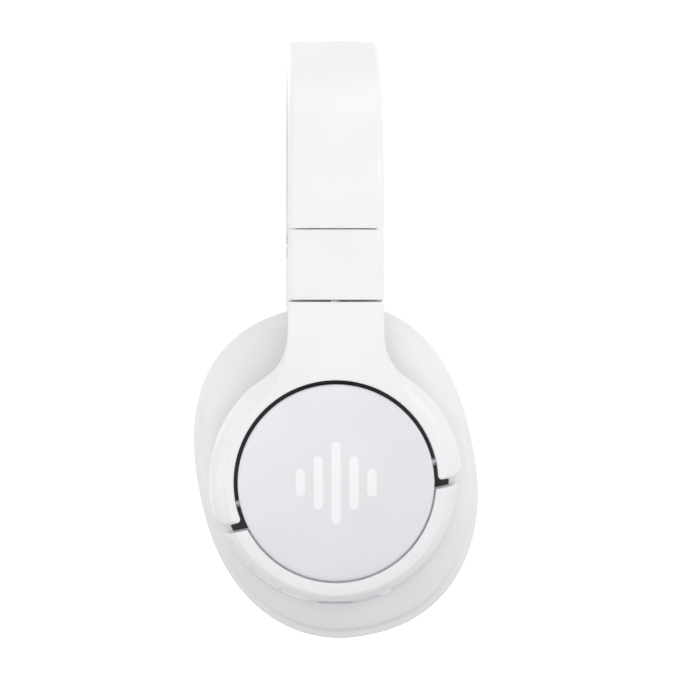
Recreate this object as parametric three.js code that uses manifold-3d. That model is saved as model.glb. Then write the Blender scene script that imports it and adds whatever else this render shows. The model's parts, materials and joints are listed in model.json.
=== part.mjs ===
// Folding over-ear headphones, hanging at rest from the padded underside of the headband.
// Millimetres, +Z up. +X is the wearer's front and +Y the wearer's left.
// The origin is the middle of the crown pad's underside.
//
// Each arm is modelled once, in a side frame: x forward, y outwards from the head, z up.
// Its cup has a frame of its own, centred on the pivot pins and leaning back with the ear.
// The right arm is the left one mirrored, with other fittings in its cup.
import * as THREE from "three";
import { mergeVertices } from "three/addons/utils/BufferGeometryUtils.js";
import Module from "manifold-3d";

const wasm = await Module();
wasm.setup();

const degrees = Math.PI / 180;

// Driving sizes
const GAP = 0.3; // clearance between neighbouring pieces
const SEAM = 0.35; // joint line between two housings
const BAND = { width: 28, thick: 9.6, shellWall: 1.8, linerWall: 1.4, corner: 1.4 };
const ARCH = { topRadius: 104, shoulderRadius: 40, split: 56 * degrees, lean: 3 * degrees, straight: 8.5 };
const CROWN_PAD = { thick: 8, width: 25, side: 3, chamfer: 4, spread: 33 * degrees, facets: 23 };
const BAND_SPRING = { width: 16, thick: 1, spread: 40 * degrees };
const CABLE = { radius: 0.9, fromWall: 0.9, startAngle: 5 * degrees };
const HINGE = { barrelRadius: 3.7, eyeMargin: 0.7, pinRadius: 1.35, inset: 1, webReach: 2.2 };
const BLOCK = { length: 20.9, screwDrop: 8 };
const SLIDER = { travel: 18, width: 15, thick: 1.2, aboveLiner: 0.5 };
const NOTCH = { pitch: 3, size: 1.2, first: 4, last: 8 };
const GUIDE = { height: 5, roof: 1.3, cableWay: 1.6 };
const POST = { radius: 2, inBlock: 9, inYoke: 6 };
const YOKE = { drop: 52.6, face: 3.4, back: 2.6, flat: 2.4, flank: 5.2, tipDrop: 5.5, flare: 3.4, wall: 2.2 };
const YOKE_COVER = { thick: 1.3, top: 4, foot: 2 };
const CAP = { radius: 28.6, dome: 1, chamfer: 0.5, edgeGap: 0.5, yokeGap: 1.2 };
const CUP = { lean: 12 * degrees, halfLong: 49.6, halfShort: 41.2, up: 2.4, forward: 1.1 };
const SQUARENESS = { top: 2.4, foot: 2.2 }; // 2 is an ellipse
const SHELL = { wall: 1.8, deck: 1.9, shelf: -8.6, rim: -17.2, shelfWidth: 4.6 };
const COLLAR = { tipGap: 2.4, flat: 3.6, bevel: 2.2, flare: 1.5, waist: -4 };
const PIVOT = { radius: 1.1, inDrum: 3.8, skin: 2.8 };
const BAFFLE = { thick: 1.8, slack: 0.9, lip: 1.6, screwMargin: 2.1, bossRadius: 2.6 };
const BAFFLE_SCREW_ANGLES = [40, 160, 280]; // degrees round from straight up, forwards first
const DRIVER = { radius: 20, flange: 1.5, magnetRadius: 12, depth: 6.8, cone: 3 };
const GRILLE = { thick: 0.7, inset: 16 };
const PAD_RING = { width: 9, thick: 0.9, inset: 0.8 };
const EAR_PAD = { thick: 16, width: 21.5, roll: 6.5 };
const BUTTON = { proud: 0.5, thick: 2.4, low: -2.2, high: 1, travel: 0.4, halfAngle: 7.2 * degrees };
const BUTTON_ANGLES = { volume_up: 51.6, play: 35.2, volume_down: 19.6 }; // degrees behind straight down
const SWITCH = { angle: -27.5 * degrees, halfAngle: 3.4 * degrees, slotHalfAngle: 7.5 * degrees };
const LIGHT = { radius: 0.6, angle: -18.2 * degrees, level: -0.5, length: 2.6 };
const PORT = { width: 11, height: 4, mouthWidth: 8.4, mouthHeight: 2.5, depth: 5.5, back: 0.8, level: -0.9 };
const JACK = { radius: 2.7, bore: 1.8, depth: 9, back: 1, level: -1.6 };
const BOARD = { margin: 3.6, thick: 1.2, below: 2.3, flatAt: 0.6 }; // its flat, in board radii
const BATTERY = { length: 1.35, width: 0.9, thick: 5, below: 1 }; // long and wide in drum radii
const SCREW = { headRadius: 1.7, headHeight: 1.1, shankRadius: 0.9, length: 5 };
const PROUD = 0.1; // how far small inserts stand out of their housing
const ROUND = { whole: 32, ring: 44, shaft: 16, barrel: 24, small: 12 }; // facets round a circle
const BEYOND = 60; // how far a cutting block runs past what it cuts

// Materials
const plastic = (color, roughness) => new THREE.MeshStandardMaterial({ color, roughness, metalness: 0 });
const metal = (color, roughness) => new THREE.MeshStandardMaterial({ color, roughness, metalness: 1 });
const SHELL_WHITE = plastic("#ededee", 0.42);
const CUP_WHITE = plastic("#ebebec", 0.45);
const LINER_WHITE = plastic("#e6e6e7", 0.6);
const PAD_LEATHER = plastic("#e9e9e8", 0.55);
const GREY_PLASTIC = plastic("#8d8f92", 0.5);
const GRILLE_CLOTH = plastic("#55575a", 0.9);
const CIRCUIT_GREEN = plastic("#1f5c38", 0.5);
const BATTERY_WRAP = plastic("#3b6ea5", 0.5);
const CABLE_SLEEVE = plastic("#b8bcc2", 0.5);
const LIGHT_LENS = plastic("#dfe8f5", 0.2);
const SPRING_STEEL = metal("#b9bcc0", 0.32);
const DRIVER_METAL = metal("#bfc1c4", 0.4);

// Joining and cutting of closed shapes
function solid(geometry) {
  const bare = geometry.index ? geometry.toNonIndexed() : geometry.clone();
  bare.deleteAttribute("normal");
  bare.deleteAttribute("uv");
  const merged = mergeVertices(bare, 1e-4);
  return new wasm.Manifold(new wasm.Mesh({
    numProp: 3,
    vertProperties: merged.attributes.position.array,
    triVerts: new Uint32Array(merged.index.array),
  }));
}

function geometryOf(manifold) {
  const mesh = manifold.getMesh();
  return new THREE.BufferGeometry()
    .setAttribute("position", new THREE.BufferAttribute(new Float32Array(mesh.vertProperties), 3))
    .setIndex(new THREE.BufferAttribute(new Uint32Array(mesh.triVerts), 1));
}

const join = (...shapes) => geometryOf(shapes.map(solid).reduce((whole, next) => whole.add(next)));
const cut = (shape, ...tools) =>
  geometryOf(tools.map(solid).reduce((rest, tool) => rest.subtract(tool), solid(shape)));
const common = (first, second) => geometryOf(solid(first).intersect(solid(second)));

// Basic shapes
function box(low, high) {
  const size = high.map((value, axis) => value - low[axis]);
  const centre = high.map((value, axis) => (value + low[axis]) / 2);
  return new THREE.BoxGeometry(...size).translate(...centre);
}

// A cylinder from one point to another.
function rod(from, to, radius, facets = ROUND.shaft) {
  const start = new THREE.Vector3(...from);
  const span = new THREE.Vector3(...to).sub(start);
  const turn = new THREE.Quaternion().setFromUnitVectors(new THREE.Vector3(0, 1, 0), span.clone().normalize());
  return new THREE.CylinderGeometry(radius, radius, span.length(), facets)
    .translate(0, span.length() / 2, 0)
    .applyQuaternion(turn)
    .translate(...start);
}

// An outline in (x, z) carried along y.
function plateAlongY(shape, low, high) {
  return new THREE.ExtrudeGeometry(shape, { depth: high - low, bevelEnabled: false, curveSegments: 6 })
    .rotateX(Math.PI / 2)
    .translate(0, high, 0);
}

// An outline in (y, z) carried along x.
function plateAlongX(points, low, high) {
  const shape = new THREE.Shape(points.map(([y, z]) => new THREE.Vector2(y, z)));
  return new THREE.ExtrudeGeometry(shape, { depth: high - low, bevelEnabled: false })
    .rotateX(Math.PI / 2)
    .rotateZ(Math.PI / 2)
    .translate(low, 0, 0);
}

// A flat round disc between two levels.
function disc(radius, low, high, facets = ROUND.whole) {
  return lathe([[0, low], [radius, low], [radius, high], [0, high]], facets);
}

// A profile that runs anticlockwise in (r, y) turns into faces that look outwards.
function anticlockwise(profile, radiusOf, levelOf) {
  const twiceArea = profile.reduce((sum, point, i) => {
    const next = profile[(i + 1) % profile.length];
    return sum + radiusOf(point) * levelOf(next) - radiusOf(next) * levelOf(point);
  }, 0);
  return twiceArea > 0 ? profile : profile.slice().reverse();
}

function lathe(profile, facets = ROUND.whole) {
  const ordered = anticlockwise(profile, ([r]) => r, ([, y]) => y);
  return new THREE.LatheGeometry(ordered.map(([r, y]) => new THREE.Vector2(r, y)), facets);
}

// The middle line of the band in (y, z). An angle on it is the one between its tangent and
// the vertical: the lean at its ends and a right angle at the crown.
const half = BAND.width / 2;
const skin = BAND.thick / 2;
const padRadius = ARCH.topRadius - skin - CROWN_PAD.thick;
const padSag = padRadius * (1 - Math.cos(CROWN_PAD.spread / CROWN_PAD.facets)); // of its middle facet
const topCentre = new THREE.Vector2(0, padSag - padRadius);
const splitRay = new THREE.Vector2(Math.cos(ARCH.split), Math.sin(ARCH.split));
const shoulderCentre = topCentre.clone().addScaledVector(splitRay, ARCH.topRadius - ARCH.shoulderRadius);
const down = new THREE.Vector2(Math.sin(ARCH.lean), -Math.cos(ARCH.lean)); // along an arm
const across = new THREE.Vector2(Math.cos(ARCH.lean), Math.sin(ARCH.lean)); // outwards from it
const shoulderEnd = shoulderCentre.clone().addScaledVector(across, ARCH.shoulderRadius);
const bandEnd = shoulderEnd.clone().addScaledVector(down, ARCH.straight);

// A point of an arm, as [y, z]: so far outwards from its middle line and so far down from the band's end.
function armPoint(outwards, drop) {
  return bandEnd.clone().addScaledVector(across, outwards).addScaledVector(down, drop).toArray();
}

// The band's middle line from the right side over the crown to the left, starting at an
// angle, with a straight run before it.
class ArchCurve extends THREE.Curve {
  constructor(from, straight) {
    super();
    this.from = from;
    this.straight = straight;
    this.shoulder = Math.max(0, ARCH.split - from) * ARCH.shoulderRadius;
    this.topFrom = Math.max(ARCH.split, from);
    this.half = straight + this.shoulder + (Math.PI / 2 - this.topFrom) * ARCH.topRadius;
  }

  spot(travelled) {
    if (travelled < this.straight) {
      return shoulderEnd.clone().addScaledVector(down, this.straight - travelled);
    }
    const past = travelled - this.straight;
    const onShoulder = past < this.shoulder;
    const [centre, radius] = onShoulder ? [shoulderCentre, ARCH.shoulderRadius] : [topCentre, ARCH.topRadius];
    const angle = onShoulder ? this.from + past / radius : this.topFrom + (past - this.shoulder) / radius;
    return new THREE.Vector2(Math.cos(angle), Math.sin(angle)).multiplyScalar(radius).add(centre);
  }

  getPoint(t, target = new THREE.Vector3()) {
    const fromCrown = (2 * t - 1) * this.half;
    const spot = this.spot(this.half - Math.abs(fromCrown));
    return target.set(0, Math.sign(fromCrown) * spot.x, spot.y);
  }
}

// A section in (x, outwards) swept over the arch.
function sweep(section, from, straight, steps) {
  const shape = new THREE.Shape(section.map(([x, out]) => new THREE.Vector2(x, out)));
  return new THREE.ExtrudeGeometry(shape, {
    extrudePath: new ArchCurve(from, straight), steps, bevelEnabled: false,
  });
}

// Headband
const linerTop = -skin + BAND.linerWall;
const shellRoof = skin - BAND.shellWall;
const barrelAxis = armPoint(-HINGE.inset, 0);
const cableSide = half - BAND.shellWall - CABLE.fromWall - CABLE.radius;
const seamDrop = HINGE.barrelRadius + SEAM; // the inner half of the fold line lies this far down

const eyeHalf = SLIDER.width / 2 + HINGE.eyeMargin;

const barrel = (halfWidth, radius, side = 1) =>
  rod([-halfWidth, side * barrelAxis[0], barrelAxis[1]], [halfWidth, side * barrelAxis[0], barrelAxis[1]],
    radius, ROUND.barrel);

function headbandShell() {
  const { corner, shellWall } = BAND;
  const lip = linerTop + GAP;
  const soft = corner * 0.3; // the corner is rounded by two flats
  const section = [
    [-half, lip], [-half + shellWall, lip], [-half + shellWall, shellRoof],
    [half - shellWall, shellRoof], [half - shellWall, lip], [half, lip],
    [half, skin - corner], [half - soft, skin - soft], [half - corner, skin],
    [-half + corner, skin], [-half + soft, skin - soft], [-half, skin - corner],
  ];
  const recesses = [-1, 1].map((side) => barrel(half + 1, seamDrop, side));
  return cut(sweep(section, ARCH.lean, ARCH.straight - SEAM / 2, 34), ...recesses);
}

function headbandLiner() {
  const section = [[-half, -skin], [half, -skin], [half, linerTop], [-half, linerTop]];
  return sweep(section, ARCH.lean, ARCH.straight - seamDrop, 32);
}

function headbandPad() {
  const { width, side, chamfer, thick, spread, facets } = CROWN_PAD;
  const top = -skin - GAP;
  const bottom = -skin - thick;
  const wide = width / 2;
  const section = [
    [-wide, top], [-wide, top - side], [-wide + chamfer, bottom],
    [wide - chamfer, bottom], [wide, top - side], [wide, top],
  ];
  return sweep(section, Math.PI / 2 - spread, 0, facets);
}

function headbandSpring() {
  const { width, thick, spread } = BAND_SPRING;
  const top = shellRoof - GAP - PROUD;
  const section = [[-width / 2, top - thick], [width / 2, top - thick], [width / 2, top], [-width / 2, top]];
  return sweep(section, Math.PI / 2 - spread, 0, 24);
}

function headbandCable() {
  const { radius, startAngle } = CABLE;
  const level = linerTop + GAP + radius;
  const section = [...Array(6).keys()].map((i) => [
    cableSide + radius * Math.cos(i * 60 * degrees), level + radius * Math.sin(i * 60 * degrees)]);
  return sweep(section, startAngle, 0, 28);
}

// Slider and fold hinge, in the side frame
const hingeWall = BAND.shellWall;
const stripInner = linerTop + SLIDER.aboveLiner;
const stripReach = SLIDER.travel + GUIDE.height + seamDrop;

// A block between two x, two distances outwards and two drops.
function armBox(x, outwards, drop) {
  const corners = [[0, 0], [1, 0], [1, 1], [0, 1]];
  return plateAlongX(corners.map(([i, j]) => armPoint(outwards[i], drop[j])), ...x);
}

function sliderStrip() {
  const { width, thick } = SLIDER;
  const level = [stripInner, stripInner + thick];
  const plate = armBox([-width / 2, width / 2], level, [-stripReach, -1]);
  const notches = [];
  for (let drop = NOTCH.first - stripReach; drop < -NOTCH.last; drop += NOTCH.pitch) {
    for (const x of [-width / 2, width / 2]) {
      const wide = [x - NOTCH.size / 2, x + NOTCH.size / 2];
      notches.push(armBox(wide, [level[0] - 1, level[1] + 1], [drop, drop + NOTCH.size]));
    }
  }
  const eye = barrel(eyeHalf, HINGE.barrelRadius);
  return cut(join(plate, eye), barrel(half, HINGE.pinRadius + GAP), ...notches);
}

function sliderGuide() {
  const wide = half - BAND.shellWall - GAP;
  const low = linerTop + GAP;
  const drop = [-GUIDE.height - seamDrop, -seamDrop - SEAM];
  const through = [drop[0] - 1, drop[1] + 1];
  const slotHalf = SLIDER.width / 2 + GAP;
  const slot = armBox([-slotHalf, slotHalf], [low - 1, stripInner + SLIDER.thick + GUIDE.roof], through);
  const cableWay = armBox([cableSide - GUIDE.cableWay, cableSide + GUIDE.cableWay],
    [low - 1, low + 2 * GUIDE.cableWay], through);
  return cut(armBox([-wide, wide], [low, shellRoof - GAP], drop), slot, cableWay);
}

const blockTop = SEAM / 2;
const blockEnd = BLOCK.length - SEAM / 2;
const postTop = blockEnd - POST.inBlock;
const postEnd = blockEnd + SEAM + POST.inYoke;

const postRod = (radius, from, to) => rod([0, ...armPoint(0, from)], [0, ...armPoint(0, to)], radius);

function hingeBlockCover() {
  const body = plateAlongX([
    armPoint(-skin, seamDrop), armPoint(-skin, blockEnd), armPoint(skin, blockEnd), armPoint(skin, blockTop),
    armPoint(skin - hingeWall, blockTop), armPoint(skin - hingeWall, seamDrop),
  ], -half, half);
  const inside = half - hingeWall;
  const hollow = armBox([-inside, inside], [-skin - 1, skin - hingeWall], [-1, blockEnd - hingeWall]);
  return cut(body, hollow, postRod(POST.radius + GAP, postTop, blockEnd + 1));
}

function hingeBlockFrame() {
  const wide = half - hingeWall - GAP;
  const body = armBox([-wide, wide], [-skin, skin - hingeWall - GAP], [seamDrop, blockEnd - hingeWall - GAP]);
  const inner = eyeHalf + GAP;
  const eyes = [-1, 1].map((side) => {
    const x = [side * inner, side * wide].sort((a, b) => a - b);
    const round = rod([x[0], ...barrelAxis], [x[1], ...barrelAxis], HINGE.barrelRadius, ROUND.barrel);
    const web = armBox(x, [-skin, HINGE.webReach], [0, seamDrop + 1]);
    return join(round, web);
  });
  const screwHole = placedInBlock(screw(GAP));
  return cut(join(body, ...eyes), barrel(half, HINGE.pinRadius + GAP),
    postRod(POST.radius + GAP, postTop, blockEnd), screwHole);
}

function foldPin() {
  return barrel(half - hingeWall - 2 * GAP, HINGE.pinRadius);
}

// A screw that points along +y with its head's face at y = 0. Extra makes the hole it sits in.
function screw(extra = 0) {
  const { headRadius, headHeight, shankRadius, length } = SCREW;
  const head = rod([0, extra ? -1 : 0, 0], [0, headHeight + extra, 0], headRadius + extra, ROUND.small);
  const shank = rod([0, headHeight / 2, 0], [0, length + extra, 0], shankRadius + extra, ROUND.small);
  return join(head, shank);
}

const screwSeat = [0, ...armPoint(-skin, BLOCK.screwDrop)];

function placedInBlock(geometry) {
  return geometry.rotateX(ARCH.lean).translate(...screwSeat);
}

// Yoke: a stem that forks into a ring round the cap
const stemTop = BLOCK.length + SEAM / 2;
const pivotZ = armPoint(0, stemTop)[1] - YOKE.drop;
const pivotY = armPoint(skin, BLOCK.length)[0] + GAP * 2 - YOKE.face;
const ringInner = CAP.radius + CAP.yokeGap;
const ringOuter = ringInner + YOKE.flat + YOKE.flank;
const thinFrom = pivotZ + ringOuter - YOKE.wall; // below this height the stem is as thin as the ring

// A shape of the cup frame, moved into the side frame.
function fromCupFrame(geometry) {
  return geometry.rotateY(-CUP.lean).translate(0, pivotY, pivotZ);
}

// The stem from the front, flaring into the ring.
function stemOutline() {
  const crown = pivotZ + ringOuter;
  const wide = half + YOKE.flare;
  const flareEnd = crown - 2.5 * YOKE.flare;
  const flareBend = crown - 1.5 * YOKE.flare;
  const foot = pivotZ + CAP.radius * 0.7;
  const shape = new THREE.Shape();
  shape.moveTo(-half, armPoint(0, stemTop)[1] + 2);
  shape.lineTo(-half, crown - 1);
  shape.quadraticCurveTo(-half, flareBend, -wide, flareEnd);
  shape.lineTo(-wide, foot);
  shape.lineTo(wide, foot);
  shape.lineTo(wide, flareEnd);
  shape.quadraticCurveTo(half, flareBend, half, crown - 1);
  shape.lineTo(half, armPoint(0, stemTop)[1] + 2);
  return shape;
}

// The stem from the side.
function stemSide() {
  return [
    armPoint(-skin, stemTop), armPoint(skin, stemTop), [pivotY + YOKE.face, thinFrom + 3],
    [pivotY + YOKE.face, pivotZ], [pivotY - YOKE.back, pivotZ], [pivotY - YOKE.back, thinFrom],
  ];
}

// The room under the yoke's cover, open towards the head.
function yokeHollow() {
  const drop = BLOCK.length + YOKE_COVER.top;
  const foot = thinFrom + YOKE_COVER.foot;
  const floor = pivotY - YOKE.back + YOKE_COVER.thick + GAP;
  return plateAlongX([
    armPoint(-BAND.thick, drop), armPoint(skin - 2 * YOKE.wall, drop), [floor, foot], [floor - BAND.thick, foot],
  ], -half + YOKE.wall, half - YOKE.wall);
}

function yoke() {
  const { back, face, flat, tipDrop } = YOKE;
  const ring = lathe([
    [ringInner, -back], [ringOuter, -back], [ringOuter - 0.4, 1.2 - back],
    [ringInner + flat, face], [ringInner, face], [ringInner, -back],
  ], ROUND.ring);
  const below = box([-BEYOND, -BEYOND, -2 * BEYOND], [BEYOND, BEYOND, -tipDrop]);
  const pinHoles = rod([YOKE.wall - ringOuter, 0, 0], [ringOuter - YOKE.wall, 0, 0], PIVOT.radius + GAP);
  const stem = common(plateAlongY(stemOutline(), pivotY - BEYOND, pivotY + BEYOND),
    plateAlongX(stemSide(), -half - 2 * YOKE.flare, half + 2 * YOKE.flare));
  const well = fromCupFrame(disc(ringInner, -BEYOND, BEYOND, ROUND.ring));
  return cut(join(fromCupFrame(cut(ring, below)), cut(stem, well, yokeHollow())),
    postRod(POST.radius + GAP, stemTop - 1, postEnd + GAP), fromCupFrame(pinHoles));
}

function yokeCover() {
  const drop = BLOCK.length + YOKE_COVER.top + GAP;
  const wide = half - YOKE.wall - GAP;
  const inner = pivotY - YOKE.back;
  const foot = thinFrom + YOKE_COVER.foot + GAP;
  return plateAlongX([
    armPoint(-skin, drop), armPoint(-skin + YOKE_COVER.thick, drop),
    [inner + YOKE_COVER.thick, foot], [inner, foot],
  ], -wide, wide);
}

// Ear cup, in the cup frame
function ovalRadius(angle) {
  const { halfShort, halfLong } = CUP;
  const squareness = Math.cos(angle) > 0 ? SQUARENESS.top : SQUARENESS.foot;
  const sideways = Math.abs(Math.sin(angle) / halfShort) ** squareness;
  const upwards = Math.abs(Math.cos(angle) / halfLong) ** squareness;
  return (sideways + upwards) ** (-1 / squareness);
}

// Points of a cup profile: on a circle round the pivot, set in from the oval, or part of the way across.
const onRound = (r, y) => ({ r, inset: 0, share: 0, y });
const onOval = (inset, y) => ({ r: 0, inset, share: 1, y });
const between = (r, inset, share, y) => ({ r, inset, share, y });

function ovalLathe(profile, facets = ROUND.whole) {
  const reachAt = ({ r, inset, share }, angle) => (1 - share) * r + share * (ovalRadius(angle) - inset);
  const ordered = anticlockwise(profile, (point) => reachAt(point, 0), (point) => point.y);
  const geometry = new THREE.LatheGeometry(ordered.map(({ y }) => new THREE.Vector2(1, y)), facets);
  const position = geometry.attributes.position;
  for (let i = 0; i < position.count; i += 1) {
    const point = ordered[i % ordered.length];
    const angle = (2 * Math.PI * (Math.floor(i / ordered.length) % facets)) / facets;
    const reach = reachAt(point, angle);
    position.setXYZ(i,
      reach * Math.sin(angle) + point.share * CUP.forward,
      point.y,
      reach * Math.cos(angle) + point.share * CUP.up);
  }
  return geometry;
}

// A block that follows the rim, centred on straight down.
function rimBlock(inner, outer, low, high, halfAngle) {
  const middle = -Math.PI / 2;
  const shape = new THREE.Shape();
  shape.absarc(0, 0, outer, middle - halfAngle, middle + halfAngle, false);
  shape.absarc(0, 0, inner, middle + halfAngle, middle - halfAngle, true);
  return plateAlongY(shape, low, high);
}

// The turn of the cup frame that brings straight down to an angle behind the world's straight down.
const rimTurn = (angle) => angle + CUP.lean;

const bossRadius = CAP.radius - 0.2;
const drumInner = bossRadius - SHELL.wall;
const shoulder = bossRadius + SHELL.shelfWidth;
const pinInner = bossRadius - PIVOT.inDrum;
const screwCircle = bossRadius + BAFFLE.screwMargin;
const collarInner = CAP.radius + CAP.edgeGap;
const collarOuter = collarInner + COLLAR.flat + COLLAR.bevel;
const buttonFace = collarOuter + BUTTON.proud;
const buttonRoot = buttonFace - BUTTON.thick;

function cupBowl() {
  const { wall, shelf, rim, deck } = SHELL;
  const roof = deck - wall;
  return ovalLathe([
    onRound(0, deck), onRound(bossRadius, deck), onRound(bossRadius, shelf), onRound(shoulder, shelf - 0.4),
    between(shoulder + 1, 0, 0.42, shelf - 2.4), between(shoulder + 1, 0, 0.78, shelf - 5.2),
    onOval(2.4, rim + 1.9), onOval(0, rim + 0.3), onOval(0, rim), onOval(wall, rim),
    between(shoulder, wall, 0.75, shelf - 5.6 - wall), between(shoulder - 1, wall, 0.3, shelf - 2.6 - wall),
    onRound(bossRadius - wall, shelf - wall), onRound(bossRadius - wall, roof), onRound(0, roof),
  ]);
}

// The collar round the lower half of the cap, which carries on the line of the yoke's ring.
function cupCollar() {
  const { bevel, flare, waist, tipGap } = COLLAR;
  const root = bossRadius - 1;
  const foot = SHELL.shelf - 1;
  const ring = lathe([
    [root, foot], [collarOuter + flare, foot], [collarOuter + flare / 2, foot + 2.5], [collarOuter, waist],
    [collarOuter, YOKE.face - bevel], [collarOuter - bevel, YOKE.face], [collarInner, YOKE.face],
    [collarInner, SHELL.deck], [root, SHELL.deck], [root, foot],
  ], ROUND.ring);
  const above = box([-BEYOND, -BEYOND, -YOKE.tipDrop - tipGap], [BEYOND, BEYOND, 2 * BEYOND]);
  return cut(ring, above);
}

function screwSpots() {
  return BAFFLE_SCREW_ANGLES.map((angle) => [
    screwCircle * Math.sin(angle * degrees), screwCircle * Math.cos(angle * degrees)]);
}

function screwHoles() {
  return screwSpots().map(([x, z]) => screw(GAP).translate(x, SHELL.rim, z));
}

function cupShell(fittings) {
  const bosses = screwSpots().map(([x, z]) =>
    rod([x, SHELL.rim + BAFFLE.thick + GAP, z], [x, SHELL.shelf - SHELL.wall / 2, z],
      BAFFLE.bossRadius, ROUND.small));
  const pinHoles = [-1, 1].map((side) =>
    rod([side * (pinInner - GAP), 0, 0], [side * (bossRadius + 1), 0, 0], PIVOT.radius + GAP));
  return cut(join(cupBowl(), cupCollar(), ...bosses), ...pinHoles, ...screwHoles(), ...fittings);
}

function pivotPin() {
  return rod([0, 0, 0], [ringOuter - PIVOT.skin - pinInner, 0, 0], PIVOT.radius);
}

function cupCap() {
  const { radius, dome, chamfer } = CAP;
  const seat = SHELL.deck + GAP;
  const edge = YOKE.face;
  return lathe([
    [0, seat], [radius, seat], [radius, edge - chamfer], [radius - chamfer, edge],
    [radius * 0.72, edge + dome * 0.52], [radius * 0.38, edge + dome * 0.88], [0, edge + dome],
  ], ROUND.ring);
}

function baffle() {
  const { thick, slack, lip } = BAFFLE;
  const low = SHELL.rim;
  const hole = DRIVER.radius - lip;
  const inset = SHELL.wall + 2 * GAP;
  const plate = ovalLathe([
    onRound(hole, low), onOval(inset, low), between(shoulder, inset + slack, 0.75, low + thick / 2),
    between(shoulder, inset + slack, 0.6, low + thick), onRound(hole, low + thick), onRound(hole, low),
  ]);
  return cut(plate, ...screwHoles());
}

function driver() {
  const { radius, flange, magnetRadius, depth, cone } = DRIVER;
  const front = SHELL.rim + BAFFLE.thick + GAP;
  return lathe([
    [0, front + flange / 2], [radius - cone, front], [radius, front], [radius, front + flange],
    [magnetRadius + flange, front + 2 * flange], [magnetRadius, front + depth], [0, front + depth],
  ]);
}

const padSide = SHELL.rim - GAP; // everything clipped to the rim starts here

function driverGrille() {
  const { thick, inset } = GRILLE;
  const face = padSide - thick;
  return ovalLathe([onRound(0, face), onOval(inset, face), onOval(inset, padSide), onRound(0, padSide)]);
}

function padRing() {
  const { width, inset, thick } = PAD_RING;
  return ovalLathe([
    onOval(width, padSide - thick), onOval(inset, padSide - thick), onOval(inset, padSide),
    onOval(width, padSide), onOval(width, padSide - thick),
  ]);
}

function earPad() {
  const { thick, width, roll } = EAR_PAD;
  const seat = padSide - PAD_RING.thick - GAP;
  const face = seat - thick;
  return ovalLathe([
    onOval(width - 2, seat), onOval(width, seat - 3), onOval(width, face + roll * 0.7),
    onOval(width - roll * 0.7, face), onOval(roll, face), onOval(roll * 0.25, face + roll * 0.45),
    onOval(0, face + roll), onOval(0, seat - 2), onOval(1.2, seat), onOval(width - 2, seat),
  ]);
}

// Fittings of the cups
const boardTop = SHELL.deck - SHELL.wall - BOARD.below;

function circuitBoard() {
  const { margin, thick, flatAt } = BOARD;
  const radius = drumInner - margin;
  const beyondFlat = box([-BEYOND, -BEYOND, flatAt * radius], [BEYOND, BEYOND, BEYOND]);
  return cut(disc(radius, boardTop - thick, boardTop), beyondFlat);
}

function battery() {
  const { thick, below } = BATTERY;
  const length = BATTERY.length * drumInner;
  const width = BATTERY.width * drumInner;
  const top = SHELL.deck - SHELL.wall - below;
  return box([-length / 2, top - thick, -width / 2], [length / 2, top, width / 2]);
}

function buttonBlock() {
  return rimBlock(buttonRoot, buttonFace, BUTTON.low, BUTTON.high, BUTTON.halfAngle);
}

function buttonPocket(angle, halfAngle) {
  const root = buttonRoot - BUTTON.travel - GAP;
  return rimBlock(root, buttonFace + 1, BUTTON.low - GAP, BUTTON.high + GAP, halfAngle).rotateY(rimTurn(angle));
}

function switchBlock() {
  return rimBlock(buttonRoot, buttonFace, BUTTON.low, BUTTON.high, SWITCH.halfAngle);
}

const sideGap = GAP / buttonRoot; // the clearance as an angle at the rim
const switchRest = SWITCH.angle + SWITCH.slotHalfAngle - SWITCH.halfAngle - sideGap;

function portHousing(extra = 0) {
  const wide = PORT.width / 2 + extra;
  const high = PORT.height / 2 + extra;
  const inner = collarOuter - PORT.depth - extra;
  const outer = collarOuter + (extra ? BUTTON.travel * 5 : PROUD);
  return box([-wide, PORT.level - high, -outer], [wide, PORT.level + high, -inner]);
}

function chargingPort() {
  const { mouthWidth, mouthHeight, depth, back, level } = PORT;
  const mouth = box([-mouthWidth / 2, level - mouthHeight / 2, -collarOuter - 1],
    [mouthWidth / 2, level + mouthHeight / 2, depth - back - collarOuter]);
  return cut(portHousing(), mouth);
}

function jackSleeve(radius, from, to) {
  return rod([0, JACK.level, from - collarOuter], [0, JACK.level, to - collarOuter], radius, ROUND.barrel);
}

function audioJack() {
  return cut(jackSleeve(JACK.radius, -PROUD, JACK.depth), jackSleeve(JACK.bore, -1, JACK.depth - JACK.back));
}

function lightPipe(extra, length) {
  const outer = collarOuter + PROUD + extra;
  return rod([0, LIGHT.level, length - outer], [0, LIGHT.level, -outer], LIGHT.radius + extra, ROUND.small);
}

const rightCuts = () => [
  ...Object.values(BUTTON_ANGLES).map((angle) => buttonPocket(angle * degrees, BUTTON.halfAngle + sideGap)),
  buttonPocket(SWITCH.angle, SWITCH.slotHalfAngle),
  portHousing(GAP).rotateY(rimTurn(0)),
  lightPipe(GAP, LIGHT.length + 2 * GAP).rotateY(rimTurn(LIGHT.angle)),
];

const leftCuts = () => [jackSleeve(JACK.radius + GAP, -2, JACK.depth + GAP).rotateY(rimTurn(0))];

// Assembly
function piece(name, geometry, material) {
  geometry.computeVertexNormals();
  const mesh = new THREE.Mesh(geometry, material);
  mesh.name = name;
  return mesh;
}

function headband() {
  const group = new THREE.Group();
  group.add(
    piece("headband_shell", headbandShell(), SHELL_WHITE),
    piece("headband_liner", headbandLiner(), LINER_WHITE),
    piece("headband_pad", headbandPad(), PAD_LEATHER),
    piece("headband_spring", headbandSpring(), SPRING_STEEL),
    piece("headband_cable", headbandCable(), CABLE_SLEEVE),
  );
  return group;
}

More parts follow.
